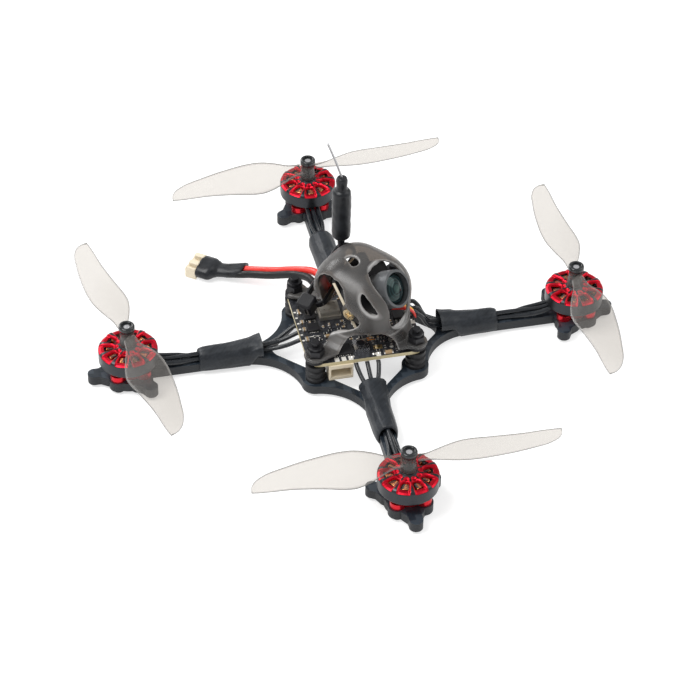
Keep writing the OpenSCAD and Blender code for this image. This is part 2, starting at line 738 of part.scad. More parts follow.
module shaft(i) {
    color([0.8, 0.8, 0.82]) at_corner(i) translate([0, 0, plate_t + 0.3])
        cylinder(r = shaft_d / 2, h = hub_top - 0.5 - plate_t - 0.3);
}

// Blade half-widths and edge heights along the radius, leading and trailing
prop_r = prop_d / 2;
function smooth(t) = t * t * (3 - 2 * t);
function clamp01(t) = max(0, min(1, t));
function lead_width(s) = (1.5 + 3.8 * smooth(clamp01(s / 0.42))) * sqrt(max(0, 1 - pow(clamp01((s - 0.35) / 0.65), 3.2)));
function trail_width(s) = 1.4 + 3.3 * smooth(clamp01(s / 0.34)) - 2.8 * smooth(clamp01((s - 0.4) / 0.6));
function pitch_angle(s) = 24 - 19 * clamp01(s);
function blade_section(s) =
    let (x = s * prop_r, a = pitch_angle(s), t = 0.5 - 0.25 * s, lw = lead_width(s), tw = trail_width(s),
         edge = 0.12, cup = 0.5 * (1 - s))
    [
        [x, -tw, -tw * sin(a) - edge], [x, -tw * 0.4, -tw * 0.4 * sin(a) - t + cup],
        [x, lw * 0.4, lw * 0.4 * sin(a) - t + cup], [x, lw, lw * sin(a) - edge],
        [x, lw, lw * sin(a) + edge], [x, lw * 0.4, lw * 0.4 * sin(a) + t + cup],
        [x, -tw * 0.4, -tw * 0.4 * sin(a) + t + cup], [x, -tw, -tw * sin(a) + edge],
    ];
STATIONS = [0.03, 0.09, 0.16, 0.24, 0.33, 0.43, 0.54, 0.65, 0.76, 0.86, 0.94, 0.98, 0.998];
module blade() {
    n = 8;
    rings = len(STATIONS);
    points = [for (s = STATIONS) each blade_section(s)];
    faces = concat(
        [for (k = [1 : n - 2]) [0, k, k + 1]],
        [for (i = [0 : rings - 2], k = [0 : n - 1]) let (j = (k + 1) % n)
            each [[i * n + k, (i + 1) * n + k, (i + 1) * n + j], [i * n + k, (i + 1) * n + j, i * n + j]]],
        [for (k = [1 : n - 2]) [(rings - 1) * n, (rings - 1) * n + k + 1, (rings - 1) * n + k]]
    );
    polyhedron(points, faces, convexity = 4);
}

module propeller(i) {
    color([0.55, 0.53, 0.52, 0.5]) at_corner(i) rotate(prop_angle[i] - arm_angle[i]) difference() {
        union() {
            translate([0, 0, hub_z0]) cylinder(r = hub_r, h = hub_top - hub_z0);
            for (a = [0, 180]) rotate(a) translate([0, 0, blade_z])
                mirror([0, clockwise[i] ? 1 : 0, 0]) blade();
        }
        cylinder(r = shaft_d / 2, h = 30);
    }
}

// Three phase wires along an arm: from the motor, through the sleeve, to the board's edge
motor_wire_d = 1.15;
WIRE_ROUTE = [                       // distance out along the arm, height, half-spread, middle wire's lift
    [53.2, 4.9, 1.35, 0], [51.9, 4.9, 1.4, 0], [50.4, 4.5, 1.4, 0], [48.2, 4, 1.5, 0.1], [45, 3.6, 1.4, 0.5],
    [42, 3.3, 0.9, 0.95], [37, 3.2, 0.64, 1.1], [31, 3.2, 0.64, 1.1], [25, 3.2, 0.64, 1.1],
];
OVER_BOARD = [                       // its last stretch, up to the board's top edge
    [21.5, 3.8, 1.2, 0.8], [19.4, 4.3, 1.6, 0.6], [18, 6.2, 2.1, 0.4], [16.8, 8.6, 2.5, 0.2],
    [15.6, 9.8, 2.7, 0], [14.5, 9.6, 2.8, 0], [13.6, 9.1, 2.8, 0],
];
UNDER_BOARD = [                      // and to its underside
    [21.5, 3.6, 1.1, 0.9], [19.4, 4.2, 1.6, 0.6], [17.6, 5.1, 2.2, 0.3], [16, 6, 2.6, 0.1],
    [14.9, 6.6, 2.8, 0], [14, 6.88, 2.8, 0],
];
wired_under = [true, false, true, false];
module motor_wires(i) {
    color([0.06, 0.06, 0.07]) rotate(arm_angle[i]) for (k = [-1 : 1])
        swept_tube([for (p = concat(WIRE_ROUTE, wired_under[i] ? UNDER_BOARD : OVER_BOARD))
            [p[0], k * p[2], p[1] + (k == 0 ? p[3] : 0)]], motor_wire_d, 8);
}

// Heat-shrink sleeve round an arm and its wires; its inner end lies on the plate, which widens there
sleeve_wrap = 26.2;                  // where it starts to reach round the arm
module arm_sleeve(i) {
    w = 6;
    low = -0.5;
    high = 6;
    wall = 0.4;
    length = sleeve_to[i] - sleeve_from[i];
    color([0.1, 0.1, 0.11]) rotate(arm_angle[i])
        translate([sleeve_from[i], 0, (low + high) / 2]) rotate([0, 90, 0]) difference() {
            soft_block([high - low, w, length], 2);
            translate([0, 0, -1]) soft_block([high - low - 2 * wall, w - 2 * wall, length + 2], 0.8);
            translate([(high + low) / 2 - plate_t - 0.05, -w, -1])
                cube([high, 2 * w, sleeve_wrap - sleeve_from[i] + 1]);
        }
}

// ---- every node --------------------------------------------------------------------------

frame_plate();
stack_screws();
grommets();
lock_nuts();
flight_board();
board_chips();
shield_can();
usb_socket();
lower_socket();
button_housing();
boot_button();
canopy();
camera_case();
camera_board();
lens_barrel();
lens_glass();
camera_screws();
camera_lead();
antenna_sleeve();
antenna_whip();
zip_tie();
lead_red();
lead_black();
lead_boot();
battery_plug();
motor_screws();
bearings();
for (i = [0 : 3]) {
    motor_base(i);
    stator(i);
    bell(i);
    magnets(i);
    shaft(i);
    propeller(i);
    motor_wires(i);
    arm_sleeve(i);
}
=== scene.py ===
"""Palm-sized four-rotor drone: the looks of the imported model. Metres, nose towards -Y."""
import math

import bmesh
import bpy
import numpy as np
from mathutils import Matrix, Vector


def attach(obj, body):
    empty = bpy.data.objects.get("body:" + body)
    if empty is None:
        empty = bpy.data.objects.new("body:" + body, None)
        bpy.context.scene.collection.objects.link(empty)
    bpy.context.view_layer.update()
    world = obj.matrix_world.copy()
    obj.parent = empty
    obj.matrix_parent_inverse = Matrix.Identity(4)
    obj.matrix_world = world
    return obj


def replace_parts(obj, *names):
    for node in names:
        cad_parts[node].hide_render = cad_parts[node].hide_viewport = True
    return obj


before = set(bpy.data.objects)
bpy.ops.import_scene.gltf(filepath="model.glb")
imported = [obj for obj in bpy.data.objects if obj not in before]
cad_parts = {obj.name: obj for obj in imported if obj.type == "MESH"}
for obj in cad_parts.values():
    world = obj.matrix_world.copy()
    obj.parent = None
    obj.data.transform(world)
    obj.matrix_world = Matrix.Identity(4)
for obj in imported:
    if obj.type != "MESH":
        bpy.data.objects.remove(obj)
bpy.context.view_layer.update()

MM = 0.001
CORNERS = ["front_right", "front_left", "rear_right", "rear_left"]
ARM_ANGLE = [225, 315, 135, 45]         # direction of each arm, degrees from +X
PROP_ANGLE = [-42, 43, 54, -37]         # rest direction of each propeller
BELL_ANGLE = [13, 31, 32, 31]           # first pocket of each bell, from its arm
CLOCKWISE = [True, False, False, True]
MOTOR_R = 57.5                          # motor axis from the centre, mm
POST_R = 18.03                          # stack screw from the centre
PIVOT = (0, -3.7, 18.2)                 # middle of the camera's tilt axis
CAMERA_TILT = 30
LENS_OFFSET = 1                         # lens axis above the tilt axis


def linked(name, data):
    """New object, put in the scene."""
    thing = bpy.data.objects.new(name, data)
    bpy.context.scene.collection.objects.link(thing)
    return thing


def angles(count):
    return [2 * math.pi * k / count for k in range(count)]


# ---- camera of the picture ----

def make_camera():
    azimuth, elevation, roll = (math.radians(a) for a in (-58.22, 41.2, 0.98))
    distance = 0.63
    level_reach = math.cos(elevation)
    back = Vector((math.sin(azimuth) * level_reach, -math.cos(azimuth) * level_reach, math.sin(elevation)))
    target = Vector((-0.88, 0.66, -1.3)) * MM
    level = Vector((0, 0, 1)).cross(back).normalized()
    upright = back.cross(level)
    right = math.cos(roll) * level + math.sin(roll) * upright
    up = -math.sin(roll) * level + math.cos(roll) * upright
    lens = bpy.data.cameras.new("view_camera")
    lens.sensor_width = 36
    lens.lens = 127.54
    lens.clip_start = 0.01
    pose = Matrix((right, up, back)).transposed().to_4x4()
    pose.translation = target + back * distance
    camera = linked("view_camera", lens)
    camera.matrix_world = pose
    bpy.context.scene.camera = camera


# ---- materials ----

class Look:
    """A material under construction: its Principled shader and short ways to add nodes."""

    def __init__(self, name, colour, roughness=0.5, metallic=0.0):
        self.material = bpy.data.materials.new(name)
        self.material.use_nodes = True
        self.tree = self.material.node_tree
        self.shader = self.tree.nodes["Principled BSDF"]
        self.set("Base Color", (*colour, 1))
        self.set("Roughness", roughness)
        self.set("Metallic", metallic)
        self.place = self.add("TexCoord").outputs["Object"]

    def feed(self, socket, value):
        """Link a socket, or set it to a constant."""
        if isinstance(value, bpy.types.NodeSocket):
            self.tree.links.new(value, socket)
        else:
            socket.default_value = value

    def set(self, name, value):
        self.feed(self.shader.inputs[name], value)

    def add(self, kind, *values, **settings):
        """New node, with its first inputs fed in order."""
        node = self.tree.nodes.new("ShaderNode" + kind)
        for key, value in settings.items():
            setattr(node, key, value)
        for socket, value in zip(node.inputs, values):
            self.feed(socket, value)
        return node

    def math(self, operation, a, b=0.0, c=0.0):
        return self.add("Math", a, b, c, operation=operation).outputs[0]

    def times(self, a, b):
        return self.math("MULTIPLY", a, b)

    def axes(self, vector):
        return self.add("SeparateXYZ", vector).outputs

    def noise(self, grain_mm, detail=3.0, stretch=(1, 1, 1)):
        """Noise from 0 to 1 whose grain is about grain_mm across."""
        mapping = self.add("Mapping", self.place)
        mapping.inputs["Scale"].default_value = stretch
        node = self.add("TexNoise", mapping.outputs[0])
        node.inputs["Scale"].default_value = 0.5 / (grain_mm * MM)
        node.inputs["Detail"].default_value = detail
        return node.outputs[0]

    def ramp(self, value, low, high, low_value=0.0, high_value=1.0):
        return self.add("MapRange", value, low, high, low_value, high_value, clamp=True).outputs[0]

    def mix(self, factor, a, b):
        node = self.add("Mix", factor, data_type="RGBA")
        for index, colour in ((6, a), (7, b)):
            self.feed(node.inputs[index], (*colour, 1) if isinstance(colour, tuple) else colour)
        return node.outputs[2]

    def attribute(self, name):
        return self.add("Attribute", attribute_name=name).outputs["Fac"]

    def lying(self, low, high):
        """1 where the surface lies level, 0 where it stands upright."""
        normal = self.add("NewGeometry").outputs["Normal"]
        return self.ramp(self.math("ABSOLUTE", self.axes(normal)[2]), low, high)

    def grazing(self, blend):
        """0 where the surface is seen face on, 1 where it is seen along itself."""
        return self.add("LayerWeight", blend).outputs["Facing"]

    def colour(self, factor, a, b):
        self.set("Base Color", self.mix(factor, a, b))

    def gloss(self, value, low_value, high_value, low=0.3, high=0.7):
        """Roughness that follows a value."""
        self.set("Roughness", self.ramp(value, low, high, low_value, high_value))

    def coat(self, level, weight, roughness):
        self.set("Specular IOR Level", level)
        self.set("Coat Weight", weight)
        self.set("Coat Roughness", roughness)

    def bump(self, height, depth_mm, strength=1.0):
        node = self.add("Bump", strength, depth_mm * MM)
        self.feed(node.inputs["Height"], height)
        self.set("Normal", node.outputs[0])

    def see_through(self, opacity, tint):
        """Let light straight through, with the given opacity."""
        clear = self.add("BsdfTransparent", (*tint, 1))
        node = self.add("MixShader", opacity, clear.outputs[0], self.shader.outputs[0])
        self.feed(self.tree.nodes["Material Output"].inputs[0], node.outputs[0])


def lighter(colour, factor, lift):
    return tuple(min(1, c * factor + lift) for c in colour)


def speckled(name, dark, light, roughness, grain_mm=0.3, bump_mm=0.02, metallic=0.0, coat=0.0, level=0.5):
    """Solid material with a fine grain, a little colour variation and uneven gloss."""
    look = Look(name, dark, roughness, metallic)
    grain = look.noise(grain_mm)
    cloud = look.noise(grain_mm * 12, 2)
    look.colour(look.math("MULTIPLY_ADD", cloud, 0.7, look.times(grain, 0.3)), dark, light)
    look.gloss(cloud, roughness * 0.85, min(1, roughness * 1.15))
    look.coat(level, coat, 0.12)
    look.bump(grain, bump_mm)
    return look.material


def carbon_look():
    """2x2 twill under clear resin, with the layers showing on the cut edges."""
    look = Look("carbon_twill", (0.03, 0.034, 0.04), 0.34)
    x, y, z = look.axes(look.place)
    tow = 1.7 * MM * math.sqrt(2)
    u, v = (look.math("DIVIDE", look.math(how, x, y), tow) for how in ("ADD", "SUBTRACT"))
    step = look.math("SUBTRACT", look.math("FLOOR", u), look.math("FLOOR", v))
    over = look.math("LESS_THAN", look.math("FLOORED_MODULO", step, 4.0), 1.5)

    def from_middle(value):
        return look.math("ABSOLUTE", look.math("SUBTRACT", look.math("FRACT", value), 0.5))

    crown_u, crown_v = (look.math("SUBTRACT", 1.0, look.times(from_middle(w), 1.4)) for w in (u, v))
    under = look.math("SUBTRACT", 1.0, over)
    crown = look.math("ADD", look.times(over, crown_u), look.times(under, crown_v))
    layers = from_middle(look.math("DIVIDE", z, 0.5 * MM))
    flat = look.lying(0.4, 0.8)
    face = look.mix(over, (0.014, 0.02, 0.028), (0.034, 0.044, 0.056))
    edge = look.mix(look.ramp(layers, 0.15, 0.45), (0.006, 0.007, 0.009), (0.016, 0.02, 0.025))
    look.colour(flat, edge, face)
    look.gloss(flat, 0.6, 0.33, 0, 1)
    look.coat(0.35, 0.15, 0.2)
    look.bump(look.math("MULTIPLY_ADD", look.noise(0.12, 2), 0.25, crown), 0.03, 0.5)
    return look.material


def rubbery(name, colour, lines=False, roughness=0.38):
    """Shrunk or moulded dark plastic: soft ripples, and fine lines along X where asked."""
    look = Look(name, colour, roughness)
    ripple = look.noise(1.6, 2)
    if lines:
        ripple = look.math("MULTIPLY_ADD", look.noise(0.22, 3, (0.06, 1, 1)), 0.6, look.times(ripple, 0.4))
    look.set("Specular IOR Level", 0.32)
    look.colour(look.ramp(ripple, 0.35, 0.7), colour, lighter(colour, 2.1, 0.006))
    look.gloss(ripple, roughness * 0.8, roughness * 1.25)
    look.bump(ripple, 0.12 if lines else 0.08, 0.7)
    return look.material


def wire_look(name, colour, roughness=0.28, level=0.5):
    """Silicone insulation: smooth, with slight dust and finger marks."""
    look = Look(name, colour, roughness)
    marks = look.noise(0.9, 3)
    look.colour(marks, colour, lighter(colour, 1.25, 0.01))
    look.gloss(marks, roughness, roughness * 1.7, 0.35)
    look.coat(level, 0.1, 0.1)
    look.bump(look.noise(0.25, 2), 0.012)
    return look.material


def metal(name, colour, roughness):
    look = Look(name, colour, roughness, 1.0)
    grain = look.noise(0.15)
    look.colour(grain, colour, lighter(colour, 1.15, 0))
    look.gloss(grain, roughness * 0.8, roughness * 1.4)
    look.bump(grain, 0.008)
    return look.material


def canopy_look():
    """Smoke-tinted moulded shell: softly glossy, a little see-through, its cut rims lightened with a painted
    highlight.
    """
    look = Look("smoked_canopy", (0.05, 0.045, 0.042), 0.16)
    rim = look.attribute("rim")
    cloud = look.noise(5, 2)
    tint = look.mix(look.ramp(cloud, 0.3, 0.7), (0.058, 0.059, 0.061), (0.1, 0.095, 0.09))
    # painted highlight: the rim mask lifts the colour towards light grey along the cut rims and the skirt
    look.colour(look.times(rim, 0.75), tint, (0.42, 0.41, 0.4))
    look.gloss(cloud, 0.3, 0.42)
    look.coat(0.5, 0.4, 0.27)
    look.bump(look.noise(2.5, 1), 0.03, 0.3)
    body = look.math("MAXIMUM", look.grazing(0.35), look.ramp(cloud, 0.3, 0.7, 0.52, 0.7))
    look.see_through(look.math("MAXIMUM", body, rim), (0.62, 0.54, 0.47))
    return look.material


def blade_look():
    """Thin frosted plastic: nearly clear face on, milkier along its edges, and darker there with painted shade."""
    look = Look("clear_blade", (0.55, 0.53, 0.52), 0.22)
    haze = look.noise(3, 3)
    rim = look.attribute("rim")
    look.gloss(haze, 0.16, 0.3)
    # painted shade: the edge mask darkens the colour along the blade's edges and tip, in place of the dark look
    # that refraction gives clear plastic there
    look.colour(rim, look.mix(haze, (0.46, 0.44, 0.425), (0.62, 0.595, 0.57)), (0.12, 0.118, 0.115))
    look.bump(look.noise(2.5, 2), 0.02, 0.3)
    body = look.math("MULTIPLY_ADD", look.grazing(0.3), 0.2, look.ramp(haze, 0.3, 0.7, 0.02, 0.05))
    look.see_through(look.math("MAXIMUM", body, look.times(rim, 0.75)), (0.815, 0.8, 0.78))
    return look.material


def hub_look():
    look = Look("clear_hub", (0.08, 0.085, 0.085), 0.2)
    haze = look.noise(1.2, 2)
    look.colour(haze, (0.035, 0.038, 0.038), (0.13, 0.13, 0.125))
    look.bump(haze, 0.02)
    look.see_through(look.ramp(look.grazing(0.4), 0, 1, 0.6, 0.97), (0.7, 0.7, 0.7))
    return look.material


def bell_look():
    """Dark anodised bell whose cut pockets show bright red."""
    look = Look("bell_anodised", (0.045, 0.045, 0.052), 0.35, 0.85)
    lathe = look.noise(0.1, 2, (1, 1, 6))
    dark = look.mix(lathe, (0.022, 0.024, 0.028), (0.055, 0.058, 0.064))
    red = look.mix(lathe, (0.42, 0.003, 0.014), (0.68, 0.01, 0.03))
    look.colour(look.ramp(look.attribute("pocket"), 0.35, 0.6), dark, red)
    look.gloss(lathe, 0.26, 0.4)
    look.bump(lathe, 0.008)
    return look.material


def board_look():
    """Black solder mask with faint copper tracks, and bare fibreglass on the edges."""
    look = Look("solder_mask", (0.02, 0.02, 0.023), 0.35)
    cells = look.add("TexVoronoi", look.place, feature="DISTANCE_TO_EDGE", distance="MANHATTAN")
    cells.inputs["Scale"].default_value = 700
    track = look.math("GREATER_THAN", cells.outputs["Distance"], 0.12)
    mask = look.mix(track, (0.018, 0.019, 0.022), (0.034, 0.036, 0.042))
    fibre = look.mix(look.noise(0.2, 2, (1, 1, 8)), (0.42, 0.34, 0.16), (0.62, 0.55, 0.36))
    look.colour(look.lying(0.5, 0.8), fibre, mask)
    look.gloss(look.noise(2, 2), 0.25, 0.45)
    look.bump(track, 0.02, 0.6)
    return look.material


def lens_look():
    """Coated front glass: dark teal with faint rings of the elements behind it."""
    look = Look("coated_glass", (0.01, 0.022, 0.024), 0.05)
    ring_gap = 0.75 * MM
    x, y, _ = look.axes(look.place)
    radius = look.math("SQRT", look.math("ADD", look.times(x, x), look.times(y, y)))
    wave = look.math("SINE", look.times(radius, 2 * math.pi / ring_gap))
    tint = look.mix(look.ramp(wave, 0.2, 1), (0.002, 0.007, 0.009), (0.012, 0.03, 0.033))
    look.colour(look.ramp(radius, 0.5 * MM, 1.3 * MM), (0.03, 0.055, 0.05), tint)
    look.gloss(look.noise(1.5, 2), 0.06, 0.12)
    look.set("Specular IOR Level", 0.35)
    look.set("Specular Tint", (0.75, 1.0, 0.95, 1))
    return look.material


# Dark and light colour, roughness, then as far as needed: grain and bump (mm), metallic, coat, specular level
SPECKLED = {
    "black_steel": ((0.008, 0.008, 0.01), (0.022, 0.022, 0.025), 0.32, 0.2, 0.01, 0.5),
    "grommet_rubber": ((0.004, 0.004, 0.005), (0.014, 0.014, 0.016), 0.55, 0.25, 0.03, 0, 0, 0.3),
    "black_nylon": ((0.004, 0.004, 0.005), (0.012, 0.012, 0.014), 0.35, 0.3, 0.02, 0, 0, 0.35),
    "chip_epoxy": ((0.008, 0.008, 0.009), (0.022, 0.022, 0.024), 0.5, 0.12, 0.015, 0, 0, 0.3),
    "white_marks": ((0.55, 0.53, 0.48), (0.75, 0.73, 0.68), 0.5, 0.2),
    "ceramic_tan": ((0.28, 0.18, 0.09), (0.45, 0.32, 0.18), 0.45, 0.2),
    "copper_orange": ((0.7, 0.22, 0.04), (0.85, 0.35, 0.08), 0.4, 0.2),
    "shield_plate": ((0.33, 0.31, 0.27), (0.46, 0.43, 0.38), 0.4, 0.25, 0.015, 0.6),
    "beige_nylon": ((0.58, 0.5, 0.36), (0.74, 0.66, 0.52), 0.45, 0.3, 0.02),
    "camera_body": ((0.005, 0.005, 0.006), (0.014, 0.014, 0.016), 0.42, 0.25, 0.02, 0, 0, 0.3),
    "lens_ring": ((0.075, 0.08, 0.085), (0.12, 0.125, 0.13), 0.35, 0.15, 0.012, 0.4),
    "red_aluminium": ((0.5, 0.006, 0.016), (0.68, 0.012, 0.026), 0.28, 0.2, 0.008, 0.75),
    "stator_steel": ((0.1, 0.09, 0.085), (0.18, 0.16, 0.15), 0.45, 0.2, 0.01, 0.7),
    "hub_collar": ((0.006, 0.007, 0.008), (0.02, 0.022, 0.024), 0.22, 0.4, 0.01),
}
METALS = {                               # colour, roughness
    "tinned_copper": ((0.62, 0.6, 0.56), 0.3), "gold_pads": ((0.8, 0.6, 0.28), 0.3),
    "bare_steel": ((0.62, 0.62, 0.64), 0.22), "brass_screw": ((0.72, 0.58, 0.36), 0.28),
    "whip_steel": ((0.45, 0.45, 0.46), 0.3), "copper_winding": ((0.66, 0.26, 0.1), 0.26),
    "plated_magnet": ((0.5, 0.5, 0.52), 0.35),
}
INSULATION = {                           # colour, roughness, specular level
    "lead_red_silicone": ((0.62, 0.02, 0.012),), "lead_black_silicone": ((0.004, 0.004, 0.005), 0.4, 0.25),
    "phase_wire": ((0.005, 0.007, 0.01), 0.24, 0.35), "signal_yellow": ((0.8, 0.5, 0.04),),
    "signal_orange": ((0.8, 0.2, 0.02),),
}
SHRUNK = {                               # colour, fine lines, roughness
    "heat_shrink": ((0.006, 0.007, 0.009),), "arm_sleeving": ((0.007, 0.009, 0.012), True, 0.42),
}


def shared_looks():
    """Every material by name."""
    looks = {}
    for maker, table in ((speckled, SPECKLED), (metal, METALS), (wire_look, INSULATION), (rubbery, SHRUNK)):
        for name, values in table.items():
            looks[name] = maker(name, *values)
    return looks | {
        "carbon_twill": carbon_look(), "smoked_canopy": canopy_look(), "clear_blade": blade_look(),
        "clear_hub": hub_look(), "bell_anodised": bell_look(), "solder_mask": board_look(),
        "coated_glass": lens_look(),
    }


# ---- shared geometry ----

def finished(work, name):
    """Mesh from a bmesh, its faces turned outwards."""
    bmesh.ops.recalc_face_normals(work, faces=work.faces)
    mesh = bpy.data.meshes.new(name)
    work.to_mesh(mesh)
    work.free()
    return mesh


def add_mesh(name, shape, look, smooth_below=40, body="airframe"):
    """Piece from (points in mm, faces), shaded smooth except over sharp edges."""
    points, faces = shape
    work = bmesh.new()
    corners = [work.verts.new(Vector(p) * MM) for p in points]
    for face in faces:
        work.faces.new([corners[k] for k in face])
    bmesh.ops.remove_doubles(work, verts=work.verts, dist=0.002 * MM)
    return place_mesh(name, finished(work, name), look, smooth_below, body)


def place_mesh(name, mesh, look, smooth_below=40, body="airframe"):
    if look:
        mesh.materials.append(look)
    mesh.polygons.foreach_set("use_smooth", [True] * len(mesh.polygons))
    mesh.set_sharp_from_angle(angle=math.radians(smooth_below))
    piece = linked(name, mesh)
    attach(piece, body)
    return piece


def skin(rings, closed=True, ends=True):
    """Faces over a list of equal rings, as (points, faces)."""
    count = len(rings[0])
    points = [p for ring in rings for p in ring]
    faces = []
    for i in range(0, (len(rings) - 1) * count, count):
        for k in range(count if closed else count - 1):
            j = (k + 1) % count
            faces.append([i + k, i + j, i + count + j, i + count + k])
    if ends:
        faces.append(list(range(count)))
        faces.append([(len(rings) - 1) * count + k for k in range(count)])
    return points, faces


def turned(profile, steps=64, looped=True):
    """Solid turned about Z from a profile of (radius, height) in mm, closed by itself or by the axis."""
    rings = [[(r * math.cos(a), r * math.sin(a), z) for r, z in profile] for a in angles(steps)]
    return skin(rings + [rings[0]], looped, False)


def gather(parts):
    """Join several (points, faces) into one."""
    points, faces = [], []
    for some_points, some_faces in parts:
        shift = len(points)
        points += list(some_points)
        faces += [[k + shift for k in face] for face in some_faces]
    return points, faces


def moved(shape, matrix):
    points, faces = shape
    return [tuple(matrix @ Vector(p)) for p in points], faces


def block(size, centre, edge=0.08):
    """Box about its centre, with bevelled edges."""
    x, y, z = (s / 2 for s in size)
    edge = min(edge, x * 0.45, y * 0.45, z * 0.45)
    rings = []
    for height, inset in ((-z, edge), (-z + edge, 0), (z - edge, 0), (z, edge)):
        a, b = x - inset, y - inset
        c, d = a - edge, b - edge
        outline = ((c, -b), (a, -d), (a, d), (c, b), (-c, b), (-a, d), (-a, -d), (-c, -b))
        rings.append([(centre[0] + px, centre[1] + py, centre[2] + height) for px, py in outline])
    return skin(rings)


def through(points, count):
    """Smooth curve through points, as count points evenly spaced along it."""
    p = np.array(points, float)
    knots = np.concatenate([[0], np.cumsum(np.linalg.norm(np.diff(p, axis=0), axis=1))])
    slopes = np.gradient(p, knots, axis=0)
    fine = np.linspace(0, knots[-1], count)
    k = np.clip(np.searchsorted(knots, fine) - 1, 0, len(knots) - 2)
    h = (knots[k + 1] - knots[k])[:, None]
    t = ((fine - knots[k])[:, None]) / h
    return ((2 * t**3 - 3 * t**2 + 1) * p[k] + (t**3 - 2 * t**2 + t) * h * slopes[k]
            + (3 * t**2 - 2 * t**3) * p[k + 1] + (t**3 - t**2) * h * slopes[k + 1])


def tube(points, radius, sides=16):
    """Round tube along points."""
    p = np.array(points, float)
    rings = []
    normal = None
    for i in range(len(p)):
        ahead = Vector(p[min(i + 1, len(p) - 1)] - p[max(i - 1, 0)]).normalized()
        if normal is None:
            normal = Vector((0, 0, 1)) if abs(ahead.z) < 0.9 else Vector((1, 0, 0))
        normal = (normal - ahead * normal.dot(ahead)).normalized()
        across = ahead.cross(normal)
        rings.append([tuple(Vector(p[i]) + radius * (math.cos(a) * normal + math.sin(a) * across))
                      for a in angles(sides)])
    return skin(rings)


def squared(angle, power):
    """Point of a unit circle, pushed towards a square by a power below 1."""
    c, s = math.cos(angle), math.sin(angle)
    return math.copysign(abs(c) ** power, c), math.copysign(abs(s) ** power, s)


def spin(degrees, axis="Z"):
    return Matrix.Rotation(math.radians(degrees), 4, axis)


def arm_matrix(i):
    return spin(ARM_ANGLE[i])


def motor_matrix(i):
    return arm_matrix(i) @ Matrix.Translation((MOTOR_R, 0, 0))


def camera_matrix():
    """Camera axes: Z along the lens, Y up across it, origin on its tilt axis."""
    return Matrix.Translation(PIVOT) @ spin(90 - CAMERA_TILT, "X")


def board_matrix():
    """Board axes: X towards the front-left edge, Y towards the rear-left edge."""
    return spin(-45)


def in_metres(matrix):
    result = matrix.copy()
    result.translation = result.translation * MM
    return result


# ---- distance fields ----

def open_grid(start, step, shape):
    """X, Y and Z of a grid's samples, as three arrays that combine into the whole grid."""
    return np.meshgrid(*(s + step * np.arange(n) for s, n in zip(start, shape)), indexing="ij", sparse=True)


def outline_distance(outline, a, b):
    """Distance from points (a, b) to a closed outline, negative inside it."""
    a, b = np.broadcast_arrays(a, b)
    nearest = np.full(a.shape, np.inf)
    inside = np.zeros(a.shape, bool)
    for (x0, y0), (x1, y1) in zip(outline, outline[1:] + outline[:1]):
        dx, dy = x1 - x0, y1 - y0
        t = np.clip(((a - x0) * dx + (b - y0) * dy) / (dx * dx + dy * dy), 0, 1)
        nearest = np.minimum(nearest, (a - x0 - t * dx) ** 2 + (b - y0 - t * dy) ** 2)
        if dy:
            inside ^= ((y0 > b) != (y1 > b)) & (a < x0 + (b - y0) * dx / dy)
    return np.where(inside, -1, 1) * np.sqrt(nearest)


def join(a, b, blend):
    """Union of two fields with a rounded join."""
    h = np.clip(0.5 + 0.5 * (b - a) / blend, 0, 1)
    return b * (1 - h) + a * h - blend * h * (1 - h)


def cut(a, b, blend):
    """First field without the second, with a rounded edge."""
    return -join(-a, b, blend)


def both(*fields):
    """What is inside every field."""
    result = fields[0]
    for field in fields[1:]:
        result = np.maximum(result, field)
    return result


def net(field, start, step):
    """Surface of a field's zero level, as points (mm), four-sided faces and grid positions."""
    inside = field < 0
    nx, ny, nz = (n - 1 for n in field.shape)
    corners = [(x, y, z) for x in (0, 1) for y in (0, 1) for z in (0, 1)]
    count = sum(inside[x:x + nx, y:y + ny, z:z + nz].astype(np.int8) for x, y, z in corners)
    cells = np.argwhere((count > 0) & (count < 8))
    number = np.full((nx, ny, nz), -1)
    number[tuple(cells.T)] = np.arange(len(cells))
    total = np.zeros((len(cells), 3))
    hits = np.zeros(len(cells))
    for first in corners:
        for axis in range(3):
            if first[axis]:
                continue
            a = cells + first
            b = a.copy()
            b[:, axis] += 1
            fa, fb = field[tuple(a.T)], field[tuple(b.T)]
            crossing = (fa < 0) != (fb < 0)
            spot = a.astype(float)
            spot[:, axis] += np.where(crossing, fa / np.where(crossing, fa - fb, 1), 0)
            total += spot * crossing[:, None]
            hits += crossing
    grid = total / hits[:, None]
    faces = np.concatenate([crossed_faces(inside, number, axis) for axis in range(3)])
    return start + grid * step, faces, grid


def crossed_faces(inside, number, axis):
    """Faces across the grid edges along one axis that the surface cuts, wound outwards."""
    u, v = (axis + 1) % 3, (axis + 2) % 3
    low = [slice(1, -1)] * 3
    low[axis] = slice(0, -1)
    high = list(low)
    high[axis] = slice(1, None)
    here, there = inside[tuple(low)], inside[tuple(high)]
    edges = np.argwhere(here != there)
    offset = np.ones(3, int)
    offset[axis] = 0
    quad = []
    for du, dv in ((0, 0), (1, 0), (1, 1), (0, 1)):
        cell = edges + offset
        cell[:, u] -= du
        cell[:, v] -= dv
        quad.append(number[tuple(cell.T)])
    quad = np.stack(quad, 1)
    flip = ~here[tuple(edges.T)]
    quad[flip] = quad[flip][:, ::-1]
    return quad


def sampled(field, grid):
    """Value of a field at grid positions, between its samples."""
    low = np.clip(np.floor(grid).astype(int), 0, np.array(field.shape) - 2)
    t = grid - low
    value = 0
    for x in (0, 1):
        for y in (0, 1):
            for z in (0, 1):
                weight = (np.where(x, t[:, 0], 1 - t[:, 0]) * np.where(y, t[:, 1], 1 - t[:, 1])
                          * np.where(z, t[:, 2], 1 - t[:, 2]))
                value = value + weight * field[low[:, 0] + x, low[:, 1] + y, low[:, 2] + z]
    return value


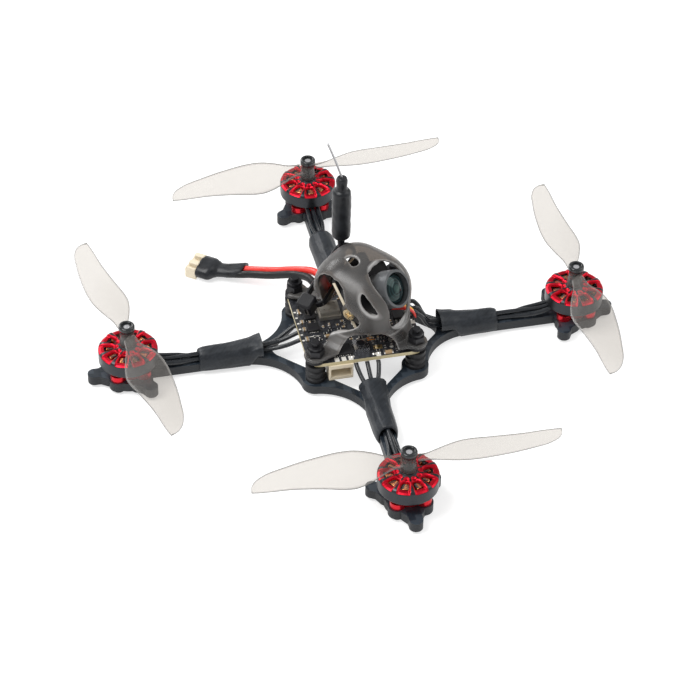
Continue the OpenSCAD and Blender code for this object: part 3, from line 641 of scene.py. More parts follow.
def settled(points, field, start, step):
    """Points moved onto the field's zero level, which makes the surface even."""
    slopes = np.gradient(field, step)
    for _ in range(3):
        grid = (points - start) / step
        slope = np.stack([sampled(s, grid) for s in slopes], 1)
        steep = np.maximum(np.sum(slope**2, 1), 0.3)
        points = points - (sampled(field, grid) / steep)[:, None] * slope
    return points


def net_mesh(name, points, faces, attribute, values):
    mesh = bpy.data.meshes.new(name)
    mesh.from_pydata([tuple(p) for p in points * MM], [], faces.tolist())
    mesh.attributes.new(attribute, "FLOAT", "POINT").data.foreach_set("value", values.astype(np.float32))
    mesh.update()
    return mesh


# ---- leads ----

RED_ROUTE = [
    (5.6, 11.3, 9.7), (6, 12.3, 10.2), (6.6, 13.5, 10.55), (7.2, 14.8, 10.8), (7.8, 16.2, 10.8),
    (8.2, 17.8, 10.5), (8.45, 19.6, 9.9), (8.5, 21.6, 9.1), (8.5, 23.8, 8.15), (8.5, 26.2, 7),
    (8.5, 28.6, 5.8), (8.45, 31, 4.8), (8.3, 33.4, 3.85), (8.1, 35.6, 3.1), (7.8, 37.4, 2.6),
    (7.5, 38.8, 2.25), (6.9, 40.8, 1.9), (6.2, 42.8, 1.6),
]
BLACK_ROUTE = [
    (3.6, 13.2, 9.7), (3.9, 14, 10.1), (4.4, 15, 10.4), (4.95, 16.1, 10.45), (5.5, 17.3, 10.3),
    (5.95, 18.6, 9.95), (6.25, 20, 9.45), (6.45, 21.6, 8.85), (6.5, 23.4, 8.15), (6.5, 25.4, 7.2),
    (6.5, 27.5, 6.15), (6.45, 29.7, 5.1), (6.4, 31.9, 4.2), (6.25, 34.1, 3.45), (6, 36.3, 2.75),
    (5.6, 38.3, 2.1), (4.8, 40.6, 1.7), (4, 42.9, 1.5),
]
PLUG_AT = (3.4, 49.6, 1.35)
PLUG_TURN = 8
BOOT = [                                 # distance behind the plug, half width, half height, lift
    (11.4, 2.5, 1.6, 0.75), (11.1, 2.6, 1.68, 0.72), (9.6, 2.62, 1.66, 0.6), (8, 2.5, 1.62, 0.4),
    (6.4, 2.25, 1.6, 0.2), (5.2, 2.3, 1.62, 0.05), (4.4, 2.8, 1.8, 0), (3.5, 3.7, 2.15, 0),
    (3.0, 3.9, 2.22, 0), (1.6, 3.9, 2.22, 0), (0.3, 3.9, 2.22, 0), (0, 3.8, 2.15, 0),
]


def plug_matrix():
    return Matrix.Translation(PLUG_AT) @ spin(PLUG_TURN)


def lead(name, node, route, look):
    curve = bpy.data.curves.new(name, "CURVE")
    curve.dimensions = "3D"
    curve.bevel_depth = 1.0 * MM
    curve.bevel_resolution = 5
    curve.resolution_u = 8
    curve.use_fill_caps = True
    spline = curve.splines.new("BEZIER")
    spline.bezier_points.add(len(route) - 1)
    for knot, point in zip(spline.bezier_points, route):
        knot.co = Vector(point) * MM
        knot.handle_left_type = knot.handle_right_type = "AUTO"
    curve.materials.append(look)
    piece = linked(name, curve)
    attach(piece, "airframe")
    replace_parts(piece, node)


def make_boot(look):
    """Shrink tube that narrows from the plug to the two wires and bends with them."""
    distances = [-s[0] for s in BOOT]
    rings = []
    for x in through([(s[0], 0, 0) for s in BOOT], 34)[:, 0]:
        w, h, lift = (np.interp(-x, distances, [s[k] for s in BOOT]) for k in (1, 2, 3))
        side = 0.0189 * x * x if x > 4 else 0
        ring = []
        for a in angles(40):
            crease = 1 + 0.012 * math.sin(5 * a + x * 0.9) + 0.01 * math.sin(9 * a - x * 1.7)
            ring.append((side + w * math.cos(a) * crease, -x, lift + h * math.sin(a) * crease))
        rings.append(ring)
    piece = add_mesh("wire_boot", moved(skin(rings), plug_matrix()), look, 60)
    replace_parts(piece, "lead_boot")
    return piece


def make_plug(look, pin_look):
    """Two-way battery plug: ribbed beige housing with a gold pin in each bore."""
    parts = [block((6.8, 3.2, 3.1), (0, 1.6, -0.7), 0.25)]
    parts += [block((1.3, 2.8, 4.4), (side, 1.2, 0), 0.18) for side in (-1.6, 1.6)]
    parts += [block((0.5, 2.9, 3.5), (side, 1.5, -0.5), 0.12) for side in (-3.1, 0, 3.1)]
    housing = add_mesh("battery_housing", moved(gather(parts), plug_matrix()), look, 30)
    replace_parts(housing, "battery_plug")
    pin = turned([(0, 0), (0.5, 0), (0.62, 0.1), (0.62, 0.5), (0.42, 0.55), (0.42, 0.2), (0, 0.15)], 20, False)
    pins = [moved(pin, plug_matrix() @ Matrix.Translation((side, 3.0, -0.7)) @ spin(-90, "X"))
            for side in (-1.1, 1.1)]
    return housing, add_mesh("battery_contacts", gather(pins), pin_look)


# ---- canopy ----

DOME_Y = -3.4
DOME_R = 10.6
CANOPY_TOP = 29.2
TAB_Z = (9.4, 10.3)
ARCH = [(-7.6, 8.4), (-6.6, 10.3), (-5.4, 11.5), (-4, 13), (-2.4, 13.9), (0, 14.2), (2.5, 14.1), (4.6, 13.5),
        (6.2, 12.2), (7.4, 10.8), (8.2, 8.4)]
FRONT_FOOT = [(-6.4, -12.6), (-5.6, -15), (-4.8, -16.6), (-2.9, -18), (2.9, -18), (4.8, -16.6), (5.6, -15),
              (6.4, -12.6)]
SIDE_FOOT = [(9, .1), (11.4, .1), (13.7, .4), (15.6, 1.8), (18, 2.9), (18, -2.9), (16, -4), (13.3, -4.9),
             (10.3, -6.8), (9, -7.6)]
REAR_FOOT = [(-2, 5.5), (-2, 10), (-1.9, 13.5), (-2.9, 18), (2.9, 18), (1.9, 13.5), (2, 10), (2, 5.5)]
FEET = [(FRONT_FOOT, 12.2, 1), (SIDE_FOOT, 14.4, 1), (SIDE_FOOT, 14.4, -1), (REAR_FOOT, 18.4, 1)]
SIDE_OPENING = [(7.3, 12), (.9, 11.6), (-3.3, 13.9), (-5.7, 15.4), (-7.3, 17), (-7.8, 18.4), (-7.3, 19.9),
                (-4.1, 21.8), (-2.9, 24), (-1.8, 25.6), (0, 26.5), (2.6, 26.8), (4.5, 26.3), (6, 25), (7.3, 22.5)]


def dome_planes(wall):
    """Directions and heights of the planes that bound the dome, a hull of four balls and a disc."""
    count = 2600
    index = np.arange(count) + 0.5
    n_z = 1 - 2 * index / count
    turn = math.pi * (1 + math.sqrt(5)) * index
    flat = np.sqrt(1 - n_z**2)
    normals = np.stack([flat * np.cos(turn), flat * np.sin(turn), n_z], 1)
    reach = []
    for side in (-2.4, 2.4):
        for centre, radius in (((side, -4.7, CANOPY_TOP - 9.6), 8.8), ((side, 1, CANOPY_TOP - 8.2), 8.2)):
            reach.append(normals @ np.array(centre) + radius - wall)
    bottom = 10 if wall else 13
    reach.append(normals[:, 1] * DOME_Y + (DOME_R - wall) * flat + np.maximum(n_z * bottom, n_z * 14))
    return normals, np.max(reach, 0)


def plane_distance(points, planes, sharpness=0.0):
    """Distance from points to the dome; with a sharpness, its small facets are blended."""
    normals, support = planes
    result = np.empty(len(points))
    batch = 8000
    for k in range(0, len(points), batch):
        heights = points[k:k + batch] @ normals.T - support
        top = np.max(heights, 1)
        if sharpness:
            top = top + np.log(np.sum(np.exp(sharpness * (heights - top[:, None])), 1)) / sharpness
        result[k:k + batch] = top
    return result


def refined(coarse, shape, ratio):
    """Field on a finer grid, by interpolation along each axis."""
    for axis in range(3):
        place = np.arange(shape[axis]) / ratio
        low = np.minimum(place.astype(int), coarse.shape[axis] - 2)
        t = (place - low).reshape([-1 if k == axis else 1 for k in range(3)])
        coarse = np.take(coarse, low, axis) * (1 - t) + np.take(coarse, low + 1, axis) * t
    return coarse


def dome_field(start, step, shape, wall):
    """Distance to the dome on a grid: rough far from its surface, exact near it."""
    planes = dome_planes(wall)
    ratio = 3
    rough = [s + ratio * step * np.arange(n // ratio + 2) for s, n in zip(start, shape)]
    grid = np.stack(np.meshgrid(*rough, indexing="ij"), -1)
    field = plane_distance(grid.reshape(-1, 3), planes).reshape(grid.shape[:3])
    field = refined(field, shape, ratio)
    near = np.argwhere(np.abs(field) < 0.8)
    field[tuple(near.T)] = plane_distance(start + near * step, planes, 40.0) - 0.03
    return field


def foot_field(x, y, z, outline, reach):
    """Sheet that flares from the dome's skirt out to a foot that lies on the tabs' level."""
    low, high = TAB_Z
    bend = (reach - DOME_R) / 3.6
    flare = [(9.7, 13.9), (9.7, 13), (9.7 + bend, 11.7), (9.7 + 2.4 * bend, 10.3), (reach - 0.3, low), (25, low),
             (25, high), (reach, high), (DOME_R + 2.4 * bend, 11.1), (DOME_R + bend, 12.5), (DOME_R, 13.9)]
    from_axis = np.sqrt(x**2 + (y - DOME_Y) ** 2)
    return -join(-outline_distance(flare, from_axis, z), -outline_distance(outline, x, y), 0.3)


def port_field(x, y, z):
    """Long opening the lens looks out of, wider at its top."""
    tilt = math.radians(CAMERA_TILT)
    ahead = -(y - PIVOT[1]) * math.cos(tilt) + (z - PIVOT[2]) * math.sin(tilt)
    across = (y - PIVOT[1]) * math.sin(tilt) + (z - PIVOT[2]) * math.cos(tilt)
    t = np.clip((across + 4.9) / 8.1, 0, 1)
    return both(np.hypot(x, across + 4.9 - 8.1 * t) - 4.5 - 0.85 * t, 6 - ahead)


def vent_field(x, y, z):
    """Slanted oval vent on each cheek."""
    slope = math.radians(41)
    dy, dz = y + 9, z - 23
    long_way = dy * math.sin(slope) + dz * math.cos(slope)
    short_way = dy * math.cos(slope) - dz * math.sin(slope)
    oval = (np.hypot(long_way / 3.3, short_way / 0.9) - 1) * 0.9
    return both(oval, np.abs(np.abs(x) - 9) - 3)


def crown_field(x, y, z):
    """Round vent in the crown with one flat side."""
    turn = math.radians(-27)
    x = x + 2.1
    from_flat = -0.7 - (x * math.cos(turn) + y * math.sin(turn))
    return both(np.hypot(x, y) - 1.9, from_flat, CANOPY_TOP - 4 - z)


def make_canopy(look):
    step = 0.3
    start = np.array([-22.2, -22.2, 9.0])
    shape = (149, 137, 71)
    x, y, z = open_grid(start, step, shape)
    outer = dome_field(start, step, shape, 0)
    body = cut(outer, dome_field(start, step, shape, 1.0), 0.15)
    for outline, reach, way in FEET:
        body = join(body, foot_field(way * x, y, z, outline, reach), 0.9)
    opening = both(outline_distance(SIDE_OPENING, y, z), 5 - np.abs(x))
    body = cut(body, opening, 0.3)

    post = np.minimum(np.hypot(np.abs(x) - POST_R, y), np.hypot(x, np.abs(y) - POST_R))
    body = join(body, both(post - 2.9, np.abs(z - sum(TAB_Z) / 2) - 0.45), 0.5)
    from_pivot = np.hypot(y - PIVOT[1], z - PIVOT[2])
    ear = np.minimum(from_pivot - 2.5, both(np.abs(z - PIVOT[2]) - 2.4, y - PIVOT[1], PIVOT[1] - 7 - y))
    body = join(body, both(ear, np.abs(np.abs(x) - 7.75) - 0.45, outer), 0.25)

    holes = [port_field(x, y, z), both(from_pivot - 1.05, 5 - np.abs(x)), both(post - 1.0, z - 12),
             vent_field(x, y, z), crown_field(x, y, z)]
    root = math.sqrt(0.5)
    for side in (-1, 1):
        out, along = (-side * x - y) * root, (side * x - y) * root
        holes.append(both(outline_distance(ARCH, along, z), np.abs(out - 10) - 6))
    holes = -both(*(-hole for hole in holes))
    body = cut(body, holes, 0.3)

    points, faces, grid = net(body, start, step)
    points = settled(points, body, start, step)
    # mask for the painted highlight and extra opacity: near the cut edges of the openings and the skirt about 13 mm
    # up
    edges = np.abs(sampled(np.broadcast_to(np.minimum(holes, opening), shape), grid))
    near = np.minimum(edges, np.abs(points[:, 2] - 13) * 0.8 + 0.1)
    mesh = net_mesh("canopy_shell", points, faces, "rim", np.clip(1.15 - near / 0.42, 0, 1))
    piece = place_mesh("canopy_shell", mesh, look, 80)
    relax = piece.modifiers.new("even_out", "SMOOTH")
    relax.factor = 0.5
    relax.iterations = 5
    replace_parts(piece, "canopy")


# ---- propellers ----

# Half-widths of a blade ahead of and behind its middle line, by distance from the shaft
LEADING = [(1.8, 1.5), (5, 2.0), (8, 3.4), (12, 4.8), (16, 5.25), (20, 5.15), (25, 4.8), (29, 4.25), (34, 3.25),
           (36.3, 2.1), (37.4, 1.0), (37.9, 0), (38.08, -1.0)]
TRAILING = [(1.8, 1.4), (5, 1.9), (8, 3.1), (12, 4.4), (14, 4.75), (16.5, 4.6), (20.5, 3.75), (25, 2.9), (29, 2.3),
            (34, 1.9), (37, 1.55), (38.08, 1.35)]
BLADE_TIP = 38.08
BLADE_Z = 13.6
HUB = [(0.76, 10.6), (1.75, 10.6), (2.0, 10.85), (2.0, 12.2), (1.82, 12.7), (1.74, 14), (1.74, 15.0), (1.8, 15.1),
       (0.76, 15.1)]
COLLAR = [(0.78, 15.12), (1.85, 15.12), (2.0, 15.3), (2.0, 16.3), (1.9, 16.55), (1.7, 16.68), (1.45, 16.7),
          (1.3, 16.6), (1.22, 16.2), (0.78, 16.15)]


def blade_shape(mirror):
    """One twisted blade along X, with how near each point is to its edge."""
    lead_curve, trail_curve = (through([(r, w, 0) for r, w in edge], 160) for edge in (LEADING, TRAILING))
    radii = list(np.linspace(1.85, 36, 44)) + [36.5, 37, 37.4, 37.7, 37.9, 38.02, BLADE_TIP]
    rings, rims = [], []
    across = 12
    for r in radii:
        s = r / 38.1
        ahead = np.interp(r, lead_curve[:, 0], lead_curve[:, 1])
        behind = np.interp(r, trail_curve[:, 0], trail_curve[:, 1])
        half = (ahead + behind) / 2
        pitch = math.radians(24 - 19 * s)
        thick = 0.42 - 0.22 * s
        cup = 0.5 * (1 - s)
        spine = 0.45 * max(0, 1 - (r - 2) / 12)
        top, low, rim = [], [], []
        for k in range(across + 1):
            q = math.cos(math.pi * k / across)
            width = (ahead - behind) / 2 + half * q
            fullness = math.sqrt(max(0, 1 - q * q)) if 0 < k < across else 0
            fat = thick * (0.25 + 0.75 * fullness)
            lift = width * math.sin(pitch) + cup * (1 - q * q)
            ridge = spine * math.exp(-(width / 0.9) ** 2)
            sway = -width if mirror else width
            top.append((r, sway, lift + fat + ridge))
            low.append((r, sway, lift - fat))
            rim.append(max(0, 1 - half * (1 - abs(q)) / 0.32, 1 - (BLADE_TIP - r) / 0.35))
        rings.append(top + low[::-1])
        rims += rim + rim[::-1]
    return *skin(rings), rims


def propeller_mesh(mirror, blade, hub):
    """Hub and two blades as one mesh, with the blades' edges marked."""
    work = bmesh.new()
    mark = work.verts.layers.float.new("rim")
    points, faces, rims = blade_shape(mirror)
    for turn in (0, 180):
        corners = []
        for p, value in zip(points, rims):
            corner = work.verts.new(spin(turn) @ Vector((p[0], p[1], p[2] + BLADE_Z)) * MM)
            corner[mark] = value
            corners.append(corner)
        for face in faces:
            work.faces.new([corners[k] for k in face])
    points, faces = turned(HUB, 56)
    corners = [work.verts.new(Vector(p) * MM) for p in points]
    for face in faces:
        work.faces.new([corners[k] for k in face]).material_index = 1
    bmesh.ops.remove_doubles(work, verts=corners, dist=0.001 * MM)
    mesh = finished(work, "propeller")
    mesh.materials.append(blade)
    mesh.materials.append(hub)
    return mesh


def make_propellers(looks):
    for i, corner in enumerate(CORNERS):
        mesh = propeller_mesh(CLOCKWISE[i], looks["clear_blade"], looks["clear_hub"])
        mesh.transform(in_metres(motor_matrix(i) @ spin(PROP_ANGLE[i] - ARM_ANGLE[i])))
        piece = place_mesh(f"{corner}_blades", mesh, None, 35, f"{corner}_rotor")
        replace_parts(piece, f"{corner}_propeller")
        add_mesh(f"{corner}_collar", moved(turned(COLLAR, 48), motor_matrix(i)), looks["hub_collar"],
                 body=f"{corner}_rotor")


# ---- motors ----

POCKETS = 10
BELL_TOP = 10.6
BELL_BOTTOM = 5.8
BELL_PROFILE = [
    (6.9, BELL_BOTTOM), (7.25, BELL_BOTTOM), (7.4, 5.95), (7.4, 9.0), (7.36, 9.25), (7.15, 9.6), (6.7, 9.88),
    (6.1, 10.04), (5.2, 10.1), (2.6, 10.1), (2.25, 10.2), (2, BELL_TOP), (0.78, BELL_TOP), (0.78, 9.0), (2, 9.0),
    (2.3, 9.3), (6.9, 9.1),
]
BELL_OUTSIDE = BELL_PROFILE[:12] + [(-1, BELL_TOP), (-1, BELL_BOTTOM)]


def pocket_outline(reach):
    """Pocket seen from above, out to reach: round inner end, wider outer end."""
    centre, narrow = 4.4, 0.95
    wide = narrow + 0.132 * (reach - centre)
    inner = [(centre - narrow * math.sin(a), narrow * math.cos(a)) for a in angles(20)[1:10]]
    return [(centre, narrow)] + inner + [(centre, -narrow), (reach, -wide), (reach, wide)]


def bell_mesh():
    """Cap with recessed pockets, a window through each, and small dimples round the hub."""
    step = 0.13
    half = 60
    chamfer = 0.36
    start = np.array([-half * step, -half * step, 5.5])
    shape = (2 * half + 1, 2 * half + 1, 42)
    x, y, z = open_grid(start, step, shape)
    radius = np.hypot(x, y)
    sector = 2 * math.pi / POCKETS
    angle = np.mod(np.arctan2(y, x) + sector / 2, sector) - sector / 2
    across, along = radius * np.sin(angle), radius * np.cos(angle)
    recess = both(outline_distance(pocket_outline(7.02), along, across), 9.42 - z)
    window = both(outline_distance(pocket_outline(6.0), along, across) + 0.12, 8.8 - z)
    dimple = both(np.hypot(along - 2.95, across) - 0.34, 9.9 - z)
    pocket = np.broadcast_to(np.minimum(recess, np.minimum(window, dimple)), shape)
    outside = outline_distance(BELL_OUTSIDE, radius, z)
    bevel = (outside + chamfer - np.minimum(recess, dimple)) * math.sqrt(0.5)
    points, faces, grid = net(both(outline_distance(BELL_PROFILE, radius, z), -pocket, bevel), start, step)
    on_top = (points[:, 2] > 9.1) & (np.hypot(points[:, 0], points[:, 1]) < 7.33)
    red = np.where(on_top, np.clip(1 - (sampled(pocket, grid) - chamfer + 0.02) / 0.12, 0, 1), 0)
    return net_mesh("bell", points, faces, "pocket", red)


def make_bells(look):
    base = bell_mesh()
    for i, corner in enumerate(CORNERS):
        mesh = base.copy()
        mesh.name = f"{corner}_bell_shell"
        mesh.transform(in_metres(motor_matrix(i) @ spin(BELL_ANGLE[i])))
        piece = place_mesh(f"{corner}_bell_shell", mesh, look, 50, f"{corner}_rotor")
        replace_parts(piece, f"{corner}_bell")


def winding_shape():
    """Loops of wire round nine stator teeth."""
    teeth, layers = 9, 5
    middle, high = 7.35, 1.62
    parts = []
    for k in range(teeth):
        for layer in range(layers):
            r = 3.75 + layer * 0.36
            wide = 0.62 + layer * 0.1
            loop = [(r, wide * c, middle + high * s) for c, s in (squared(a, 0.45) for a in angles(28))]
            points, faces = tube(loop + [loop[0]], 0.18, 8)
            parts.append(moved((points, faces[:-2]), spin(360 * (k + 0.5) / teeth)))
    return gather(parts)


def make_windings(look):
    shape = winding_shape()
    for i, corner in enumerate(CORNERS):
        add_mesh(f"{corner}_winding", moved(shape, motor_matrix(i)), look, 60)


# ---- arms: wires and sleeves ----

# Distance out along the arm, height, half-spread, middle wire's lift
WIRE_ROUTE = [
    (53.2, 4.9, 1.35, 0), (51.9, 4.9, 1.4, 0), (50.4, 4.5, 1.4, 0), (48.2, 4, 1.5, 0.1), (45, 3.6, 1.4, 0.5),
    (42, 3.3, 0.9, 0.95), (37, 3.2, 0.64, 1.1), (31, 3.2, 0.64, 1.1), (25, 3.2, 0.64, 1.1),
]
OVER_BOARD = [
    (21.5, 3.8, 1.2, 0.8), (19.4, 4.3, 1.6, 0.6), (18, 6.2, 2.1, 0.4), (16.8, 8.6, 2.5, 0.2), (15.6, 9.8, 2.7, 0),
    (14.5, 9.6, 2.8, 0), (13.6, 9.1, 2.8, 0),
]
UNDER_BOARD = [
    (21.5, 3.6, 1.1, 0.9), (19.4, 4.2, 1.6, 0.6), (17.6, 5.1, 2.2, 0.3), (16, 6, 2.6, 0.1), (14.9, 6.6, 2.8, 0),
    (14, 6.88, 2.8, 0),
]
WIRED_UNDER = [True, False, True, False]
SOLDER = [(0, -0.5), (0.7, -0.5), (0.85, -0.3), (0.72, 0.05), (0.4, 0.3), (0, 0.36)]
SLEEVE_SPAN = [(20.6, 37), (22, 37), (24, 40), (24, 41)]
SLEEVE_WIDTH = [(3.3, 2.9), (3.3, 2.7), (3.4, 2.8), (3.0, 3.5)]    # half-widths, inner and outer end


def make_wires(looks):
    for i, corner in enumerate(CORNERS):
        last, joint_z, flip = (UNDER_BOARD, 7.0, 180) if WIRED_UNDER[i] else (OVER_BOARD, 9.0, 0)
        wires, joints = [], []
        for k in (-1, 0, 1):
            route = [(d, k * spread, z + (lift if k == 0 else 0)) for d, z, spread, lift in WIRE_ROUTE + last]
            wires.append(tube(through(route, 90), 0.56))
            tip = Matrix.Translation((route[-1][0] - 0.1, route[-1][1], joint_z))
            joints.append(moved(turned(SOLDER, 20, False), tip @ spin(flip, "X")))
        piece = add_mesh(f"{corner}_phase_wires", moved(gather(wires), arm_matrix(i)), looks["phase_wire"], 60)
        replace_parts(piece, f"{corner}_wires")
        add_mesh(f"{corner}_joints", moved(gather(joints), arm_matrix(i)), looks["tinned_copper"], 60)


def sleeve_shape(near, far, widths, seed):
    """Thin shrunk tube round the arm and its wires, flared at its inner end and drawn in at the outer."""
    outer, inner = [], []
    for d in np.linspace(near, far, 40):
        flare = 0.22 * math.exp(-(d - near) / 0.9) - 0.45 * math.exp(-(far - d) / 0.7)
        loose = max(0, 1 - (d - near) / 9)
        width = np.interp(d, (near, far), widths) + flare
        top = 5.75 + flare + loose
        low = np.interp(d, (25.4, 27.2), (2.62, -0.36)) - (0.1 if d > 27 else 0) * flare
        middle, high = (top + low) / 2, (top - low) / 2
        ring, hollow = [], []
        for a in angles(56):
            lifted = math.sin(a)
            px, pz = squared(a, 0.62 if lifted < 0 else 0.85)
            crease = 0.05 * math.sin(7 * a + 0.35 * d + seed) * math.sin(0.5 * d + 2 * a)
            crease += 0.03 * math.sin(13 * a + seed)
            scale = 1 + crease / 3
            px *= width * (1 - 0.2 * max(0, lifted)) * scale
            pz *= high * scale
            ring.append((d, px, middle + pz))
            hollow.append((d, px * 0.9, middle + pz * 0.9))
        outer.append(ring)
        inner.append(hollow)
    return skin(outer + inner[::-1] + [outer[0]], True, False)


def make_sleeves(look):
    for i, corner in enumerate(CORNERS):
        shape = sleeve_shape(*SLEEVE_SPAN[i], SLEEVE_WIDTH[i], i * 1.3)
        piece = add_mesh(f"{corner}_shrink", moved(shape, arm_matrix(i)), look, 70)
        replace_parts(piece, f"{corner}_sleeve")


# ---- flight board ----

BOARD_TOP = 8.5
BOARD_Z = 7.5
# Packages on the board: u, v, width, depth, height
TOP_CHIPS = [
    (-5.9, -11.0, 5, 3.6, 0.8), (-11, 3.4, 3, 3, 0.8), (-11, -1.2, 3, 3, 0.8), (-10.8, 7.4, 2.2, 1.6, 1),
    (11, 3.5, 3, 3, 0.8), (11, -0.8, 3, 3, 0.8), (4.5, 11, 3, 3, 0.8), (3.6, -3.4, 5, 5, 0.9),
]
LOW_CHIPS = [(3, -10.5, 5, 5, 0.9), (-9.5, 3, 3, 3, 0.8), (8.3, 3, 3, 3, 0.8), (0, 9, 6, 4, 0.9)]
SMALL_PARTS = [
    (5.5, -14, 2.4, 1), (-13.2, 5.4, 1, 1.8), (-13.2, 1.4, 1, 1.1), (-13.2, -1.4, 1, 1.1), (-13.2, -5.2, 1, 1.4),
    (-8, -5, 1.6, 0.8), (-8, -7, 1.6, 0.8), (8.4, -7.4, 1.2, 2), (13, -5.2, 1, 1.8), (13, 6, 1, 1.8),
    (-5.4, 13, 1.8, 1),
]
# Places kept free of scattered parts: u, v, half-width, half-depth
KEPT_FREE = [(-0.9, -10.9, 2.5, 2.5), (-5.9, 3.8, 3.2, 3.2), (0.6, 4.9, 2.6, 2.6), (0, -14.2, 5, 1),
             (-14.2, 0, 1, 12)]
KEPT_FREE += [(u, v, 4, 4) for u in (-12.75, 12.75) for v in (-12.75, 12.75)]
SOLDER_DOTS = [(-12.2, -9.6), (-9.6, -12.2), (9.6, -12.2), (12.2, -9.6), (12.2, 9.6), (9.6, 12.2), (-9.6, 12.2),
               (-12.2, 9.6), (6.8, -11.8), (3.2, -13.4), (-3.6, -13.6), (1.9, -13.6)]


def on_board(name, parts, look):
    return add_mesh(name, moved(gather(parts), board_matrix()), look, 30)


def printed(width, depth, u, v, thick=0.06):
    """Thin pad or mark on the board's top."""
    return block((width, depth, thick), (u, v, BOARD_TOP + thick / 2), 0.02)


def make_board_parts(looks):
    chips = [block((w, d, h), (u, v, BOARD_TOP + h / 2), 0.12) for u, v, w, d, h in TOP_CHIPS]
    chips += [block((w, d, h), (u, v, BOARD_Z - h / 2), 0.12) for u, v, w, d, h in LOW_CHIPS]
    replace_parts(on_board("chip_packages", chips, looks["chip_epoxy"]), "board_chips")

    legs = []
    for u, v, w, d, _ in TOP_CHIPS:
        per_side = max(3, round(w / 0.65))
        for k in range(per_side):
            along = (k - (per_side - 1) / 2) * (w - 0.6) / per_side
            for across in (v - d / 2 - 0.1, v + d / 2 + 0.1):
                legs.append(block((0.24, 0.3, 0.22), (u + along, across, BOARD_TOP + 0.11), 0.04))
    legs += [block((0.35, d, 0.55), (u + side * (w / 2 - 0.17), v, BOARD_TOP + 0.27), 0.06)
             for u, v, w, d in SMALL_PARTS for side in (-1, 1)]
    on_board("chip_legs", legs, looks["tinned_copper"])
    bodies = [block((w - 0.6, d * 0.96, 0.6), (u, v, BOARD_TOP + 0.3), 0.05) for u, v, w, d in SMALL_PARTS]
    on_board("small_parts", bodies, looks["ceramic_tan"])


def make_tiny_parts(looks):
    """Resistors and capacitors scattered between the packages, with their soldered ends."""
    place = np.random.default_rng(7)
    tries, wanted = 900, 95
    taken = [(u, v, w / 2 + 0.3, d / 2 + 0.3) for u, v, w, d, *_ in TOP_CHIPS + SMALL_PARTS] + KEPT_FREE
    ends, bodies, dark = [], [], []
    for _ in range(tries):
        u, v = place.uniform(-13.8, 13.8, 2)
        if len(bodies) + len(dark) > wanted:
            break
        if any(abs(u - a) < w + 0.55 and abs(v - b) < d + 0.4 for a, b, w, d in taken):
            continue
        taken.append((u, v, 0.55, 0.35))
        lengthwise = place.random() < 0.5
        kind = dark if place.random() < 0.6 else bodies
        body, end = ((0.5, 0.46, 0.32), (0.22, 0.5, 0.34)) if lengthwise else ((0.46, 0.5, 0.32), (0.5, 0.22, 0.34))
        kind.append(block(body, (u, v, BOARD_TOP + 0.17), 0.04))
        for side in (-0.36, 0.36):
            spot = (u + side, v) if lengthwise else (u, v + side)
            ends.append(block(end, (*spot, BOARD_TOP + 0.18), 0.04))
    on_board("tiny_ends", ends, looks["tinned_copper"])
    on_board("tiny_capacitors", bodies, looks["ceramic_tan"])
    on_board("tiny_resistors", dark, looks["chip_epoxy"])


def make_board_marks(looks):
    """Pads, solder and printed marks along the board's edges."""
    pads = [printed(1.15, 1.5, -7.6 + 1.75 * k, -14.0) for k in (0, 1, 2, 6)]
    for along in (-6 + 2.2 * k for k in range(6)):
        pads += [printed(0.6, 0.5, -14.2, along + 0.7), printed(1.4, 1.2, 14.0, along)]
    dot = turned([(0, 0), (0.55, 0), (0.5, 0.16), (0.3, 0.3), (0, 0.34)], 18, False)
    on_board("edge_pads", pads, looks["white_marks"])
    on_board("solder_dots", [moved(dot, Matrix.Translation((u, v, BOARD_TOP))) for u, v in SOLDER_DOTS],
             looks["tinned_copper"])
    tracks = [block((3.2, 0.16, 0.05), (*spot, BOARD_TOP + 0.03), 0.015) for spot in ((1.6, -7.6), (1.7, -8.3))]
    on_board("board_tracks", tracks, looks["copper_orange"])
    marks = [block((*size, 0.04), (*spot, BOARD_TOP + 0.02), 0.01)
             for *spot, size in ((-11.2, -4.2, (2.6, 0.2)), (-9, 5.4, (0.2, 2.2)), (7.5, -9.4, (1.9, 0.2)))]
    on_board("printed_marks", marks, looks["white_marks"])
    on_board("gold_pad", [printed(2.2, 1.5, 3.4, -11.3)], looks["gold_pads"])


# ---- camera, antenna, tie ----

CAMERA_LEAD = [(3.9, 3, 10.1), (3.9, 3.2, 11.5), (3.4, 3.6, 12.8), (2.3, 3.8, 13.9), (1.2, 3.4, 14.5)]
POWER_WIRE = [(2.6, -3.4, 12.3), (4.4, -6, 11.9), (5.9, -8.8, 12.5), (7.2, -10.8, 12.3), (8.4, -11.8, 10.9),
              (9, -12.2, 9.1)]
WIRE_COLOURS = [("yellow", "signal_yellow"), ("orange", "signal_orange"), ("red", "lead_red_silicone")]
ANTENNA_AT = (9.2, 10.1)
SLEEVE_TOP = 43.2
WHIP_TIP = (5.6, 12, 55)
ANTENNA_PROFILE = [
    (0.9, 10.9), (0.95, 14), (0.92, 18), (0.94, 23.4), (1.05, 24.2), (1.85, 24.7), (2.24, 25.2), (2.34, 26),
    (2.36, 30), (2.34, 38), (2.26, 38.9), (1.9, 39.4), (1.45, 39.7), (1.38, 40.3), (1.36, 42.8), (1.2, SLEEVE_TOP),
    (0.3, SLEEVE_TOP),
]
TIE_AT = (ANTENNA_AT[0], 8.95, 19.6)


